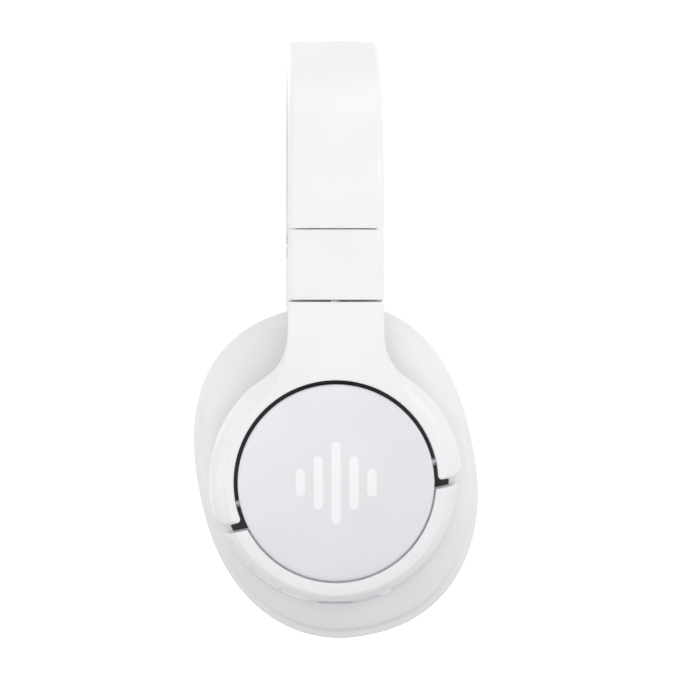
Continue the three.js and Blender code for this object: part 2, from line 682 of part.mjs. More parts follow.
function cup(side, fittingCuts) {
  const group = new THREE.Group();
  group.position.set(0, pivotY, pivotZ);
  group.rotation.y = -CUP.lean;
  group.add(
    piece(`cup_shell_${side}`, cupShell(fittingCuts), CUP_WHITE),
    piece(`cup_cap_${side}`, cupCap(), SHELL_WHITE),
    piece(`baffle_${side}`, baffle(), GREY_PLASTIC),
    piece(`driver_${side}`, driver(), DRIVER_METAL),
    piece(`driver_grille_${side}`, driverGrille(), GRILLE_CLOTH),
    piece(`pad_ring_${side}`, padRing(), GREY_PLASTIC),
    piece(`ear_pad_${side}`, earPad(), PAD_LEATHER),
  );
  screwSpots().forEach(([x, z], i) => {
    const fastener = piece(`baffle_screw_${i + 1}_${side}`, screw(), SPRING_STEEL);
    fastener.position.set(x, SHELL.rim, z);
    group.add(fastener);
  });
  for (const [end, turn] of [["front", 0], ["rear", Math.PI]]) {
    const pin = piece(`pivot_pin_${end}_${side}`, pivotPin(), SPRING_STEEL);
    pin.position.x = pinInner * Math.cos(turn);
    pin.rotation.y = turn;
    group.add(pin);
  }
  return group;
}

function arm(side, fittingCuts) {
  const group = new THREE.Group();
  const blockScrew = piece(`block_screw_${side}`, screw(), SPRING_STEEL);
  blockScrew.position.set(...screwSeat);
  blockScrew.rotation.x = ARCH.lean;
  group.add(
    piece(`slider_strip_${side}`, sliderStrip(), SPRING_STEEL),
    piece(`slider_guide_${side}`, sliderGuide(), GREY_PLASTIC),
    piece(`hinge_block_cover_${side}`, hingeBlockCover(), SHELL_WHITE),
    piece(`hinge_block_frame_${side}`, hingeBlockFrame(), LINER_WHITE),
    blockScrew,
    piece(`fold_pin_${side}`, foldPin(), SPRING_STEEL),
    piece(`swivel_post_${side}`, postRod(POST.radius, postTop + GAP, postEnd), SPRING_STEEL),
    piece(`yoke_${side}`, yoke(), SHELL_WHITE),
    piece(`yoke_cover_${side}`, yokeCover(), LINER_WHITE),
    cup(side, fittingCuts),
  );
  return group;
}

// Puts a fitting in a cup, turned round its rim.
function fit(cupGroup, mesh, turn = 0) {
  mesh.rotation.y = turn;
  cupGroup.add(mesh);
}

const leftArm = arm("left", leftCuts());
const leftCup = leftArm.children.at(-1);
fit(leftCup, piece("battery", battery(), BATTERY_WRAP));
fit(leftCup, piece("audio_jack", audioJack(), GREY_PLASTIC), rimTurn(0));

const rightArm = arm("right", rightCuts());
rightArm.scale.y = -1;
const rightCup = rightArm.children.at(-1);
fit(rightCup, piece("circuit_board", circuitBoard(), CIRCUIT_GREEN));
fit(rightCup, piece("charging_port", chargingPort(), SPRING_STEEL), rimTurn(0));
fit(rightCup, piece("status_light", lightPipe(0, LIGHT.length), LIGHT_LENS), rimTurn(LIGHT.angle));
fit(rightCup, piece("power_switch", switchBlock(), SHELL_WHITE), rimTurn(switchRest));
for (const [name, angle] of Object.entries(BUTTON_ANGLES)) {
  fit(rightCup, piece(`${name}_button`, buttonBlock(), SHELL_WHITE), rimTurn(angle * degrees));
}

const headphones = new THREE.Group();
headphones.add(headband(), leftArm, rightArm);
export default headphones;
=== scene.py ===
# Folding over-ear headphones in white, hanging at rest as they sit on a head.
# Shapes are worked out in millimetres and made in metres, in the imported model's frame:
# +X is the wearer's front, +Y the wearer's left and +Z up. The left side is worked out,
# and the right one is its mirror image with fittings of its own.
import json
import math
from types import SimpleNamespace as Sizes

import bmesh
import bpy
import numpy as np
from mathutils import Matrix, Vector


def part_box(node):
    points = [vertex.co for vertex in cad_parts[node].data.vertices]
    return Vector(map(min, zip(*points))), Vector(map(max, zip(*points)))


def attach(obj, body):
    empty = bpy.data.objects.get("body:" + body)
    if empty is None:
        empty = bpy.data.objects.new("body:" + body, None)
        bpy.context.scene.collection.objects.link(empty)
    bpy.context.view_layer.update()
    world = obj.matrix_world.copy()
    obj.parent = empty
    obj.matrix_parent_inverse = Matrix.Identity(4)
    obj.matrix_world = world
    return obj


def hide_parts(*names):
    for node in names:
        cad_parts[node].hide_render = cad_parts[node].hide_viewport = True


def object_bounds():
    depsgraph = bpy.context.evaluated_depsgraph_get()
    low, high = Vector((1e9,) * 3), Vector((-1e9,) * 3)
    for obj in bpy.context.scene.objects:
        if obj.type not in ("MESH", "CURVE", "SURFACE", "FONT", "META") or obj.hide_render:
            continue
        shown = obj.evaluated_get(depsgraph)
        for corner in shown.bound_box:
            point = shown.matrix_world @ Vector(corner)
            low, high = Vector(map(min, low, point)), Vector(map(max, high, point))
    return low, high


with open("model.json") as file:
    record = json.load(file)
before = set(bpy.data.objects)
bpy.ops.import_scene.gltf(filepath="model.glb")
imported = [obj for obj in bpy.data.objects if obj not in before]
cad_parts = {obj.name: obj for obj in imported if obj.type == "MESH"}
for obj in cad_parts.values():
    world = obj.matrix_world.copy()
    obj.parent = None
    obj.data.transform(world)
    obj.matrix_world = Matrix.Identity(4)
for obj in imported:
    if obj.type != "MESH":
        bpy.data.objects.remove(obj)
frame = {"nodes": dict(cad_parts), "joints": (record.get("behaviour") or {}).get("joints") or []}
cad_low, cad_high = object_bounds()

MM = 0.001
JOINTS = {joint["name"]: joint for joint in frame["joints"]}
SIDES = {"left": 1, "right": -1}

# Places and leans that the frame gives
PIVOT = np.array(JOINTS["cup_tilt_left"]["pos_m"]) / MM
FOLD = np.array(JOINTS["fold_left"]["pos_m"]) / MM
TILT_AXIS = JOINTS["cup_tilt_left"]["axis"]
CUP_LEAN = math.atan2(TILT_AXIS[2], TILT_AXIS[0])

# Sizes in millimetres
GAP = 0.3  # clearance between neighbouring pieces
SEAM = 0.35  # joint line between two housings
BAND = Sizes(half=14, skin=4.8, wall=1.8, liner=1.4, corner=2.2, crown=0.35, liner_edge=0.5)
ARCH = Sizes(top=104, shoulder=40, split=math.radians(56), lean=math.radians(3), straight=8.5)
HINGE = Sizes(barrel=3.7)
BLOCK = Sizes(length=20.9, ease=0.4, back_corner=0.8)
POST = Sizes(radius=2, in_block=9, in_yoke=6)
YOKE = Sizes(face=3.4, back=2.6, inner=29.8, crease=32.2, outer=37.4, tip=-5.5, wall=2.2)
COVER = Sizes(thick=1.3, top=4, foot=2)
CAP = Sizes(radius=28.6, seat=2.2, edge=3.4, dome=1, ease=0.7)
CUP = Sizes(half_long=49.6, half_short=41.2, up=2.4, forward=1.1, square_top=2.4, square_foot=2.2)
SHELL = Sizes(wall=1.8, deck=1.9, shelf=-8.6, rim=-17.2, drum=28.4, shoulder=33)
COLLAR = Sizes(inner=29.1, outer=34.9, bevel=2.2, flare=1.5, waist=-4, top=-7.9)
BUTTON = Sizes(root=33, face=35.4, low=-2.2, high=1, half=math.radians(7.2), travel=0.4, ease=0.35)
BUTTONS = {"volume_up": 51.6, "play": 35.2, "volume_down": 19.6}  # degrees behind straight down
SWITCH = Sizes(slot=-27.5, half=math.radians(3.4), slot_half=math.radians(7.5))
LIGHT = Sizes(radius=0.6, angle=-18.2, level=-0.5, length=2.6)
PORT = Sizes(half_width=5.5, half_height=2, mouth_width=4.2, mouth_height=1.25, depth=5.5, level=-0.9)
JACK = Sizes(radius=2.7, bore=1.8, depth=9, back=1, level=-1.6)
PAD = Sizes(seat=-18.7, face=-34.7, width=21.5, roll=6.5)
RING = Sizes(width=9, inset=0.8, thick=0.9)
GRILLE = Sizes(inset=16, thick=0.7)
# sizes of the dark ring that stands as painted shade in the gap round the cap
GAP_SHADE_RING = Sizes(outer=33.4, thick=0.7)
CROWN_PAD = Sizes(half=12.5, thick=8, spread=math.radians(33))
PAD_SIDE = SHELL.rim - GAP  # everything clipped to the rim starts here


# ---------------------------------------------------------------- camera and light
def srgb(colour):
    """A hex colour as linear red, green, blue and 1."""
    channels = [int(colour[i:i + 2], 16) / 255 for i in (1, 3, 5)]
    return [c / 12.92 if c <= 0.04045 else ((c + 0.055) / 1.055) ** 2.4 for c in channels] + [1]


def aim(thing, target):
    """Turns a camera or a light towards a point."""
    thing.rotation_euler = (Vector(target) - thing.location).to_track_quat("-Z", "Y").to_euler()


VIEW = Sizes(distance=0.9, width=0.1972, sideways=math.radians(-1.2))
SENSOR = 36
cap_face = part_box("cup_cap_right")[0][1]
target = (0.0011, cap_face, PIVOT[2] * MM + 0.0415)
camera = bpy.data.objects.new("camera", bpy.data.cameras.new("camera"))
camera.data.sensor_width = SENSOR
camera.data.lens = SENSOR * VIEW.distance / VIEW.width
camera.location = (
    target[0] + VIEW.distance * math.sin(VIEW.sideways),
    target[1] - VIEW.distance * math.cos(VIEW.sideways),
    target[2],
)
aim(camera, target)
bpy.context.scene.collection.objects.link(camera)
bpy.context.scene.camera = camera
bpy.context.scene.view_settings.view_transform = "Standard"


def softbox(name, place, target, width, watts):
    """A square soft light that shines at a point."""
    lamp = bpy.data.objects.new(name, bpy.data.lights.new(name, "AREA"))
    lamp.data.shape = "SQUARE"
    lamp.data.size = width
    lamp.data.energy = watts
    lamp.location = place
    aim(lamp, target)
    bpy.context.scene.collection.objects.link(lamp)


SOFTBOXES = {  # place and width in metres, and watts
    "key": ((1.1, -1.1, 0.7), 0.5, 3.4),
    "front": ((-0.3, -1.9, 0.3), 1.0, 1.8),
    "left": ((-1.3, -0.75, -0.05), 0.4, 1.3),
    "top": ((0.2, 0.1, 1.2), 0.8, 1.7),
    "back": ((-0.8, 1.2, 0.6), 0.9, 1.6),
}
middle = ((cad_low + cad_high) / 2)[:]
for name, (place, width, watts) in SOFTBOXES.items():
    softbox(f"{name}_softbox", place, middle, width, watts)


# ---------------------------------------------------------------- materials
def add_node(tree, kind, values=None, links=None, stops=(), **settings):
    """Adds a shader node with its settings, its sockets' values, the outputs linked to it and,
    for a ramp, the place and the hex colour of each stop."""
    made = tree.nodes.new("ShaderNode" + kind)
    for name, value in settings.items():
        setattr(made, name, value)
    for socket, value in (values or {}).items():
        made.inputs[socket].default_value = value
    for socket, source in (links or {}).items():
        tree.links.new(source, made.inputs[socket])
    for number, (position, colour) in enumerate(stops):
        made.color_ramp.elements[number].position = position
        made.color_ramp.elements[number].color = srgb(colour)
    return made


def new_material(name, **sockets):
    """A material with one principled shader; returns its tree, its shader and its object coordinates."""
    made = bpy.data.materials.new(name)
    made.use_nodes = True
    tree = made.node_tree
    shader = next(n for n in tree.nodes if n.type == "BSDF_PRINCIPLED")
    for socket, value in sockets.items():
        shader.inputs[socket.replace("_", " ")].default_value = value
    place = add_node(tree, "TexCoord").outputs["Object"]
    return made, tree, shader, place


def per(size):
    """The scale of a pattern whose features are a size in millimetres apart."""
    return 1 / (size * MM)


WAVES_PER_UNIT = 20 / math.pi  # a wave texture's bands in one unit, at scale 1


def varied(tree, shader, place, colours, roughness, patch):
    """Two near tones and two roughnesses, in soft patches of a size in millimetres."""
    noise = add_node(tree, "TexNoise", {"Scale": per(patch), "Detail": 3.0}, {"Vector": place})
    patches = noise.outputs["Fac"]
    tone = add_node(tree, "ValToRGB", links={"Fac": patches}, stops=zip((0.35, 0.65), colours))
    gloss = add_node(tree, "MapRange",
                     {"From Min": 0.3, "From Max": 0.7, "To Min": roughness[0], "To Max": roughness[1]},
                     {"Value": patches})
    tree.links.new(tone.outputs["Color"], shader.inputs["Base Color"])
    tree.links.new(gloss.outputs["Result"], shader.inputs["Roughness"])


def moulded_plastic(name, colours, roughness, grain, depth, **sockets):
    """Injection-moulded plastic: a fine even spark-eroded grain and slightly uneven gloss."""
    made, tree, shader, place = new_material(name, IOR=1.53, **sockets)
    varied(tree, shader, place, colours, roughness, 22)
    texture = add_node(tree, "TexNoise", {"Scale": per(grain), "Detail": 4.0}, {"Vector": place})
    bump = add_node(tree, "Bump", {"Distance": depth * MM}, {"Height": texture.outputs["Fac"]})
    tree.links.new(bump.outputs["Normal"], shader.inputs["Normal"])
    return made


def brushed_metal(name, colours, roughness, line, along):
    """Rolled and brushed metal: hair lines much longer than they're wide, along one direction."""
    made, tree, shader, place = new_material(name, Metallic=1.0)
    varied(tree, shader, place, colours, roughness, 6)
    stretch = [per(line)] * 3
    stretch[along] = per(line * 40)
    lines = add_node(tree, "Mapping", {"Scale": stretch}, {"Vector": place})
    hairs = add_node(tree, "TexNoise", {"Scale": 1.0, "Detail": 2.0}, {"Vector": lines.outputs["Vector"]})
    bump = add_node(tree, "Bump", {"Distance": 0.02 * MM}, {"Height": hairs.outputs["Fac"]})
    tree.links.new(bump.outputs["Normal"], shader.inputs["Normal"])
    return made


# White ABS, moulded and sprayed with a satin lacquer: even, softly glossy, with a trace of orange peel.
LACQUERED_ABS = moulded_plastic("satin_lacquered_white_abs", ("#eeeeef", "#ebebed"), (0.3, 0.36), 1.1, 0.006)
# The cups' ABS is left as moulded, so it's a little duller than the lacquered pieces.
CUP_ABS = moulded_plastic("moulded_white_abs", ("#ececee", "#e9e9eb"), (0.36, 0.43), 0.6, 0.008)
# Polypropylene inside the band and blocks: matt, with a visible fine grain.
LINER_PP = moulded_plastic("matt_white_polypropylene", ("#e6e6e7", "#e1e1e3"), (0.5, 0.6), 0.5, 0.02)
# Glass-filled nylon for hidden carriers: grey and dull with a coarse grain.
GREY_NYLON = moulded_plastic("grey_glass_filled_nylon", ("#8f9194", "#85878b"), (0.45, 0.56), 0.5, 0.03)
# Heat-shrunk PVC round the battery: glossy blue, with slow ripples.
BATTERY_FILM = moulded_plastic("blue_shrunk_pvc_film", ("#3b6ea5", "#34659a"), (0.25, 0.34), 2.5, 0.05)
# Moulded silicone rubber, nearly black and dull: painted shade in the gap round the cap, so that gaps over it
# look deep.
GAP_SHADE_BLACK = moulded_plastic("charcoal_painted_gap_shade", ("#2b2b2d", "#353537"), (0.6, 0.75), 0.7, 0.02)
# Extruded PVC sleeve of the cable inside the band: even silver-grey.
CABLE_PVC = moulded_plastic("silver_grey_extruded_pvc", ("#b8bcc2", "#aeb3ba"), (0.4, 0.5), 0.8, 0.02)
# Clear high-gloss lacquer over white ABS, so the emblem shines beside the satin cap.
EMBLEM_LACQUER = moulded_plastic("gloss_lacquered_white_abs", ("#f4f4f5", "#f1f1f2"), (0.06, 0.1), 1.6, 0.002)
# Pearl lacquer on the caps: mica flakes make it a shade greyer, and lighter towards the lamp.
PEARL_LACQUER = moulded_plastic(
    "pearl_lacquered_white_abs", ("#e1e1e5", "#dedee2"), (0.3, 0.36), 0.8, 0.004, Metallic=0.2)
# Spring steel, rolled and brushed along the arm: bright, with fine hair lines.
SPRING_STEEL = brushed_metal("brushed_spring_steel", ("#c3c6ca", "#b2b5ba"), (0.26, 0.36), 0.25, 2)
# Zinc-plated steel of the driver's frame: duller, with marks from the press.
DRIVER_STEEL = brushed_metal("pressed_zinc_plated_steel", ("#c4c6c9", "#b4b7bb"), (0.34, 0.44), 0.3, 0)


def pebbled_leather():
    """Soft synthetic leather: a pebble grain of 0.9 mm, a little coarser than the real 0.6 mm so that
    it shows, with fine creases between the pebbles and a faint sheen."""
    made, tree, shader, place = new_material(
        "pebbled_white_synthetic_leather", IOR=1.5, Sheen_Weight=0.12, Sheen_Roughness=0.4)
    varied(tree, shader, place, ("#e9e9ea", "#e3e3e4"), (0.42, 0.54), 14)
    wander = add_node(tree, "TexNoise", {"Scale": per(2.4), "Detail": 2.0}, {"Vector": place})
    bent = add_node(tree, "Mix", {"Factor": 0.0006}, {"A": place, "B": wander.outputs["Color"]},
                    data_type="VECTOR")
    pebbles = add_node(tree, "TexVoronoi", {"Scale": per(0.9), "Smoothness": 0.6},
                       {"Vector": bent.outputs["Result"]}, feature="SMOOTH_F1")
    fine = add_node(tree, "TexNoise", {"Scale": per(0.35), "Detail": 3.0}, {"Vector": place})
    height = add_node(tree, "Math", {1: -0.35}, {0: fine.outputs["Fac"]}, operation="MULTIPLY")
    total = add_node(tree, "Math", links={0: pebbles.outputs["Distance"], 1: height.outputs["Value"]},
                     operation="ADD")
    bump = add_node(tree, "Bump", {"Strength": 0.55, "Distance": 0.16 * MM},
                    {"Height": total.outputs["Value"]}, invert=True)
    tree.links.new(bump.outputs["Normal"], shader.inputs["Normal"])
    return made


def knitted_cloth():
    """The speaker cloth: dark knitted polyester with threads 0.9 mm apart, open enough to breathe."""
    made, tree, shader, place = new_material("knitted_grey_polyester", Roughness=0.85, Sheen_Weight=0.2)
    waves = [
        add_node(tree, "TexWave", {"Scale": per(0.9) / WAVES_PER_UNIT, "Distortion": 0.6}, {"Vector": place},
                 bands_direction=direction)
        for direction in ("X", "Z")
    ]
    weave = add_node(tree, "Math", links={0: waves[0].outputs["Fac"], 1: waves[1].outputs["Fac"]},
                     operation="MULTIPLY")
    tone = add_node(tree, "ValToRGB", links={"Fac": weave.outputs["Value"]},
                    stops=((0, "#303236"), (1, "#6d7075")))
    tree.links.new(tone.outputs["Color"], shader.inputs["Base Color"])
    bump = add_node(tree, "Bump", {"Distance": 0.25 * MM}, {"Height": weave.outputs["Value"]})
    tree.links.new(bump.outputs["Normal"], shader.inputs["Normal"])
    return made


def printed_board():
    """Fibreglass board under green solder mask, with fine copper tracks showing through it."""
    made, tree, shader, place = new_material("green_masked_circuit_board", Roughness=0.35, Coat_Weight=0.3)
    tracks = add_node(tree, "TexBrick", {
        "Scale": per(20), "Color1": srgb("#1f5c38"), "Color2": srgb("#23683f"), "Mortar": srgb("#3f8552"),
        "Mortar Size": 0.02}, {"Vector": place})
    tree.links.new(tracks.outputs["Color"], shader.inputs["Base Color"])
    return made


def light_lens():
    """A milky polycarbonate light pipe."""
    made, tree, shader, place = new_material(
        "milky_polycarbonate", IOR=1.58, Roughness=0.2, Subsurface_Weight=0.4)
    cloud = add_node(tree, "TexNoise", {"Scale": per(0.8)}, {"Vector": place})
    tone = add_node(tree, "ValToRGB", links={"Fac": cloud.outputs["Fac"]},
                    stops=((0, "#cfd8e4"), (1, "#e6eef8")))
    tree.links.new(tone.outputs["Color"], shader.inputs["Base Color"])
    return made


def polyester_thread():
    """Twisted polyester thread, drawn with one turn of the twist a millimetre."""
    made, tree, shader, place = new_material(
        "twisted_white_polyester_thread", Roughness=0.55, Sheen_Weight=0.2)
    wave = add_node(tree, "TexWave", {"Scale": per(1) / WAVES_PER_UNIT, "Distortion": 1.0},
                    {"Vector": place}, bands_direction="DIAGONAL")
    twist = wave.outputs["Fac"]
    tone = add_node(tree, "ValToRGB", links={"Fac": twist}, stops=((0, "#cfcfd1"), (1, "#ececee")))
    tree.links.new(tone.outputs["Color"], shader.inputs["Base Color"])
    bump = add_node(tree, "Bump", {"Distance": 0.05 * MM}, {"Height": twist})
    tree.links.new(bump.outputs["Normal"], shader.inputs["Normal"])
    return made


LEATHER = pebbled_leather()
THREAD = polyester_thread()
CLOTH = knitted_cloth()
BOARD = printed_board()
LENS = light_lens()


# ---------------------------------------------------------------- making meshes
def skin_of(rings, ends="capped"):
    """The surface through closed rings of points, with its first and last ring capped or joined."""
    rings = np.asarray(rings, float)
    count, around = rings.shape[:2]
    faces = []
    for i in range(count if ends == "joined" else count - 1):
        here, there = i * around, (i + 1) % count * around
        for j in range(around):
            k = (j + 1) % around
            faces.append((here + j, here + k, there + k, there + j))
    if ends == "capped":
        faces.append(tuple(range(around))[::-1])
        faces.append(tuple(range((count - 1) * around, count * around)))
    return rings.reshape(-1, 3), faces


def together(surfaces):
    """Several surfaces as one."""
    points, faces = [], []
    for some, skin in surfaces:
        before = sum(map(len, points))
        faces += [tuple(i + before for i in face) for face in skin]
        points.append(some)
    return np.concatenate(points), faces


def corner_arc(before, corner, after, radius, steps=4):
    """The points of a rounded corner."""
    corner = np.asarray(corner, float)
    ends = []
    for other in (before, after):
        way = np.asarray(other, float) - corner
        length = np.linalg.norm(way)
        ends.append(corner + way / length * min(radius, 0.48 * length))
    t = np.linspace(0, 1, steps + 1)[:, None]
    return (1 - t) ** 2 * ends[0] + 2 * t * (1 - t) * corner + t * t * ends[1]


def rounded(points, radii, steps=4):
    """A closed loop with its corners rounded, by one radius or one for each corner."""
    points = np.asarray(points, float)
    made = []
    for i, radius in enumerate(np.broadcast_to(radii, len(points))):
        if radius:
            made.extend(corner_arc(points[i - 1], points[i], points[(i + 1) % len(points)], radius, steps))
        else:
            made.append(points[i])
    return np.array(made)


def spaced(loop, count):
    """A closed loop as points spaced evenly along it."""
    closed = np.concatenate([loop, loop[:1]])
    reach = np.concatenate([[0], np.cumsum(np.linalg.norm(np.diff(closed, axis=0), axis=1))])
    wanted = np.linspace(0, reach[-1], count, endpoint=False)
    return np.column_stack([np.interp(wanted, reach, closed[:, axis]) for axis in range(closed.shape[1])])


def mesh_object(name, surface, material, side=1, crease=35):
    """An object from a surface in millimetres on the left side, or mirrored to the right one. Edges
    sharper than a crease angle in degrees stay sharp."""
    points, faces = surface
    mesh = bpy.data.meshes.new(name)
    mesh.from_pydata((np.asarray(points) * MM * (1, side, 1)).tolist(), [], faces)
    work = bmesh.new()
    work.from_mesh(mesh)
    bmesh.ops.remove_doubles(work, verts=work.verts, dist=1e-6)
    bmesh.ops.recalc_face_normals(work, faces=work.faces)
    work.to_mesh(mesh)
    work.free()
    mesh.materials.append(material)
    made = bpy.data.objects.new(name, mesh)
    bpy.context.scene.collection.objects.link(made)
    shade(made, crease)
    return made


def shade(thing, crease=35):
    """Smooth shading, but for edges sharper than an angle in degrees."""
    thing.data.shade_smooth()
    thing.data.set_sharp_from_angle(angle=math.radians(crease))


def applied(thing):
    """Makes an object's modifiers part of its mesh."""
    graph = bpy.context.evaluated_depsgraph_get()
    mesh = bpy.data.meshes.new_from_object(thing.evaluated_get(graph))
    thing.modifiers.clear()
    thing.data = mesh
    return thing


def combined(base, surfaces, operation="DIFFERENCE", side=1):
    """Cuts surfaces out of an object, or joins them to it."""
    tools = [mesh_object(f"{base.name}_tool", surface, base.data.materials[0], side) for surface in surfaces]
    for tool in tools:
        modifier = base.modifiers.new("combine", "BOOLEAN")
        modifier.operation = operation
        modifier.solver = "EXACT"
        modifier.object = tool
    applied(base)
    for tool in tools:
        bpy.data.objects.remove(tool)
    shade(base)
    return base


def settle(piece, body, slot, *nodes):
    """Says what a finished piece rides on and stands for; its slot is not used."""
    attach(piece, body)
    if nodes:
        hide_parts(*nodes)
    return piece


# ---------------------------------------------------------------- arms and band
DOWN = np.array([math.sin(ARCH.lean), -math.cos(ARCH.lean)])  # (y, z) along an arm
ACROSS = np.array([math.cos(ARCH.lean), math.sin(ARCH.lean)])
top_centre = np.array([0, cad_high.z / MM - ARCH.top - BAND.skin])
split_ray = np.array([math.cos(ARCH.split), math.sin(ARCH.split)])
shoulder_centre = top_centre + split_ray * (ARCH.top - ARCH.shoulder)
band_end = shoulder_centre + ACROSS * ARCH.shoulder + DOWN * ARCH.straight


def arm(x, out, drop):
    """A point of the left arm: so far outwards from its middle line and below the band's end."""
    y, z = band_end + ACROSS * out + DOWN * drop
    return np.array([x, y, z])


def arm_box(x, out, drop):
    """A block of the arm between two x, two distances outwards and two drops."""
    return skin_of([[arm(xx, out[i], drop[j]) for i, j in ((0, 0), (1, 0), (1, 1), (0, 1))] for xx in x])


def rod(start, end, radius, count=32):
    """A round rod from one point to another."""
    start, end = np.array(start, float), np.array(end, float)
    along = (end - start) / np.linalg.norm(end - start)
    side = np.cross(along, (0, 0, 1) if abs(along[2]) < 0.9 else (1, 0, 0))
    side /= np.linalg.norm(side)
    other = np.cross(along, side)
    turn = np.linspace(0, 2 * math.pi, count, endpoint=False)[:, None]
    ring = radius * (np.cos(turn) * side + np.sin(turn) * other)
    return skin_of([start + ring, end + ring])


def post_rod(radius, start, end):
    return rod(arm(0, 0, start), arm(0, 0, end), radius)


def fold_rod(radius, half=BAND.half + 1):
    """A rod on the fold line."""
    return rod((-half, FOLD[1], FOLD[2]), (half, FOLD[1], FOLD[2]), radius, 64)


def arch_line(lowest, straight, spacing):
    """Middle points (y, z) and outward directions, from the right end over the crown to the left one."""
    spots, outwards = [], []
    for centre, radius, start, end in (
        (top_centre, ARCH.top, math.pi / 2, max(ARCH.split, lowest)),
        (shoulder_centre, ARCH.shoulder, min(ARCH.split, math.pi / 2), lowest),
    ):
        if start > end:
            for angle in np.linspace(start, end, max(2, round((start - end) * radius / spacing))):
                outwards.append((math.cos(angle), math.sin(angle)))
                spots.append(centre + radius * np.array(outwards[-1]))
    if straight:
        outwards.append(outwards[-1])
        spots.append(spots[-1] + DOWN * straight)
    spots, outwards = np.array(spots), np.array(outwards)
    mirror = np.array([-1, 1])
    return (np.concatenate([spots[:0:-1] * mirror, spots]),
            np.concatenate([outwards[:0:-1] * mirror, outwards]))


def sweep(section, lowest, straight=0, spacing=1.6):
    """A section of (x, outwards) carried over the arch."""
    spots, outwards = arch_line(lowest, straight, spacing)
    x, out = np.asarray(section, float).T
    rings = [
        np.column_stack([x, spot[0] + way[0] * out, spot[1] + way[1] * out])
        for spot, way in zip(spots, outwards)
    ]
    return skin_of(rings)


def crowned_side(low, back_corner):
    """The band's section from one lower corner over its gently crowned outer side to the other one."""
    across = np.array([9, 4.5, 0, -4.5, -9])
    crown = BAND.skin - BAND.crown * (across / BAND.half) ** 2
    edge = BAND.skin - BAND.crown
    loop = [(-BAND.half, low), (BAND.half, low), (BAND.half, edge), *zip(across, crown), (-BAND.half, edge)]
    return loop, [back_corner, back_corner, BAND.corner, 0, 0, 0, 0, 0, BAND.corner]


LINER_TOP = -BAND.skin + BAND.liner
LIP = LINER_TOP + GAP
SEAM_DROP = HINGE.barrel + SEAM  # the inner half of the fold line lies this far down
INSIDE = BAND.half - BAND.wall
ROOF = BAND.skin - BAND.wall


def headband_shell():
    loop, radii = crowned_side(LIP, 0.3)
    u_form = [(-INSIDE, LIP), (-INSIDE, ROOF), (INSIDE, ROOF), (INSIDE, LIP)]
    section = rounded([loop[0], *u_form, *loop[1:]], [radii[0], 0, 0, 0, 0, *radii[1:]], 5)
    surface = sweep(section, ARCH.lean, ARCH.straight - SEAM / 2)
    shell = mesh_object("headband_outer_shell", surface, LACQUERED_ABS)
    right_rod = fold_rod(SEAM_DROP)
    mirrored = (right_rod[0] * (1, -1, 1), right_rod[1])
    return combined(shell, [right_rod, mirrored])


def headband_liner():
    corners = [(-BAND.half, -BAND.skin), (BAND.half, -BAND.skin),
               (BAND.half, LINER_TOP), (-BAND.half, LINER_TOP)]
    section = rounded(corners, [BAND.liner_edge, BAND.liner_edge, 0.2, 0.2])
    return mesh_object("headband_inner_liner", sweep(section, ARCH.lean, ARCH.straight - SEAM_DROP), LINER_PP)


def eased_rows(start, end, ease):
    """Drops of an extrusion and how far each is drawn in, so that its end edges are rounded."""
    steps = [(0, 1), (0.15, 0.45), (0.5, 0.12), (1, 0)]
    head = [(start + ease * step, ease * inset) for step, inset in steps]
    tail = [(end - ease * step, ease * inset) for step, inset in reversed(steps)]
    return head + tail


def arm_extrusion(section, rows):
    x, out = np.asarray(section, float).T
    rings = []
    for drop, inset in rows:
        narrow, thin = 1 - inset / BAND.half, 1 - inset / BAND.skin
        rings.append([arm(a * narrow, b * thin, drop) for a, b in zip(x, out)])
    return skin_of(rings)


BLOCK_TOP = SEAM / 2
BLOCK_END = BLOCK.length - SEAM / 2


def hinge_block_cover(side_name, side):
    loop, radii = crowned_side(-BAND.skin, BLOCK.back_corner)
    body = arm_extrusion(rounded(loop, radii, 5), eased_rows(BLOCK_TOP, BLOCK_END, BLOCK.ease))
    block = mesh_object(f"hinge_block_housing_{side_name}", body, LACQUERED_ABS, side)
    beyond = BAND.skin + 1
    fold_room = arm_box((-BAND.half - 1, BAND.half + 1), (-beyond, ROOF), (-1, SEAM_DROP))
    hollow = arm_box((-INSIDE, INSIDE), (-beyond, ROOF), (-1, BLOCK_END - BAND.wall))
    post_hole = post_rod(POST.radius + GAP, BLOCK_END - POST.in_block, BLOCK_END + 1)
    return combined(block, [fold_room, hollow, post_hole], side=side)


# ---------------------------------------------------------------- yoke
# Its plan is worked out in (x, z) from the pivot, for the half on one side of the stem.
STEM_TOP = arm(0, 0, BLOCK.length + SEAM / 2)[2] - PIVOT[2]
THIN_FROM = YOKE.outer - YOKE.wall
FRONT_EDGE = [(21.6, 24.0), (18.7, 27.2), (16.7, 30.6), (15.4, 34.4), (14.5, 38.4), (14.1, 42), (14, 46)]
BACK_EDGE = [(24.9, 27.9), (21.4, 30.4), (18.6, 32.5), (16.7, 34.6), (15.4, 37.2), (14.5, 40.4), (14, 44)]
TIP_STEPS = [0, 0.06, 0.2, 0.45, 0.8, 1.3, 2, 3]  # distances from the tip where its rounding needs points
TIP_CORNERS = Sizes(inner=1.3, crease=1.2, outer=2.8, edge=0.6)
SOFT = Sizes(ring=0.5, side=2, top=0.45, back=0.7)  # how much the front and back edges are rounded
FLANK_BULGE = 1.1  # how far the ring's sloping outer side is rounded outwards


def even(points, count):
    """Points spaced evenly along a smoothed line through some points."""
    points = np.asarray(points, float)
    for _ in range(3):  # corner cutting, which keeps the ends
        first = points[:-1] * 0.75 + points[1:] * 0.25
        second = points[:-1] * 0.25 + points[1:] * 0.75
        points = np.concatenate([points[:1], np.stack([first, second], 1).reshape(-1, 2), points[-1:]])
    reach = np.concatenate([[0], np.cumsum(np.linalg.norm(np.diff(points, axis=0), axis=1))])
    wanted = np.linspace(0, reach[-1], count)
    return np.column_stack([np.interp(wanted, reach, points[:, axis]) for axis in (0, 1)])


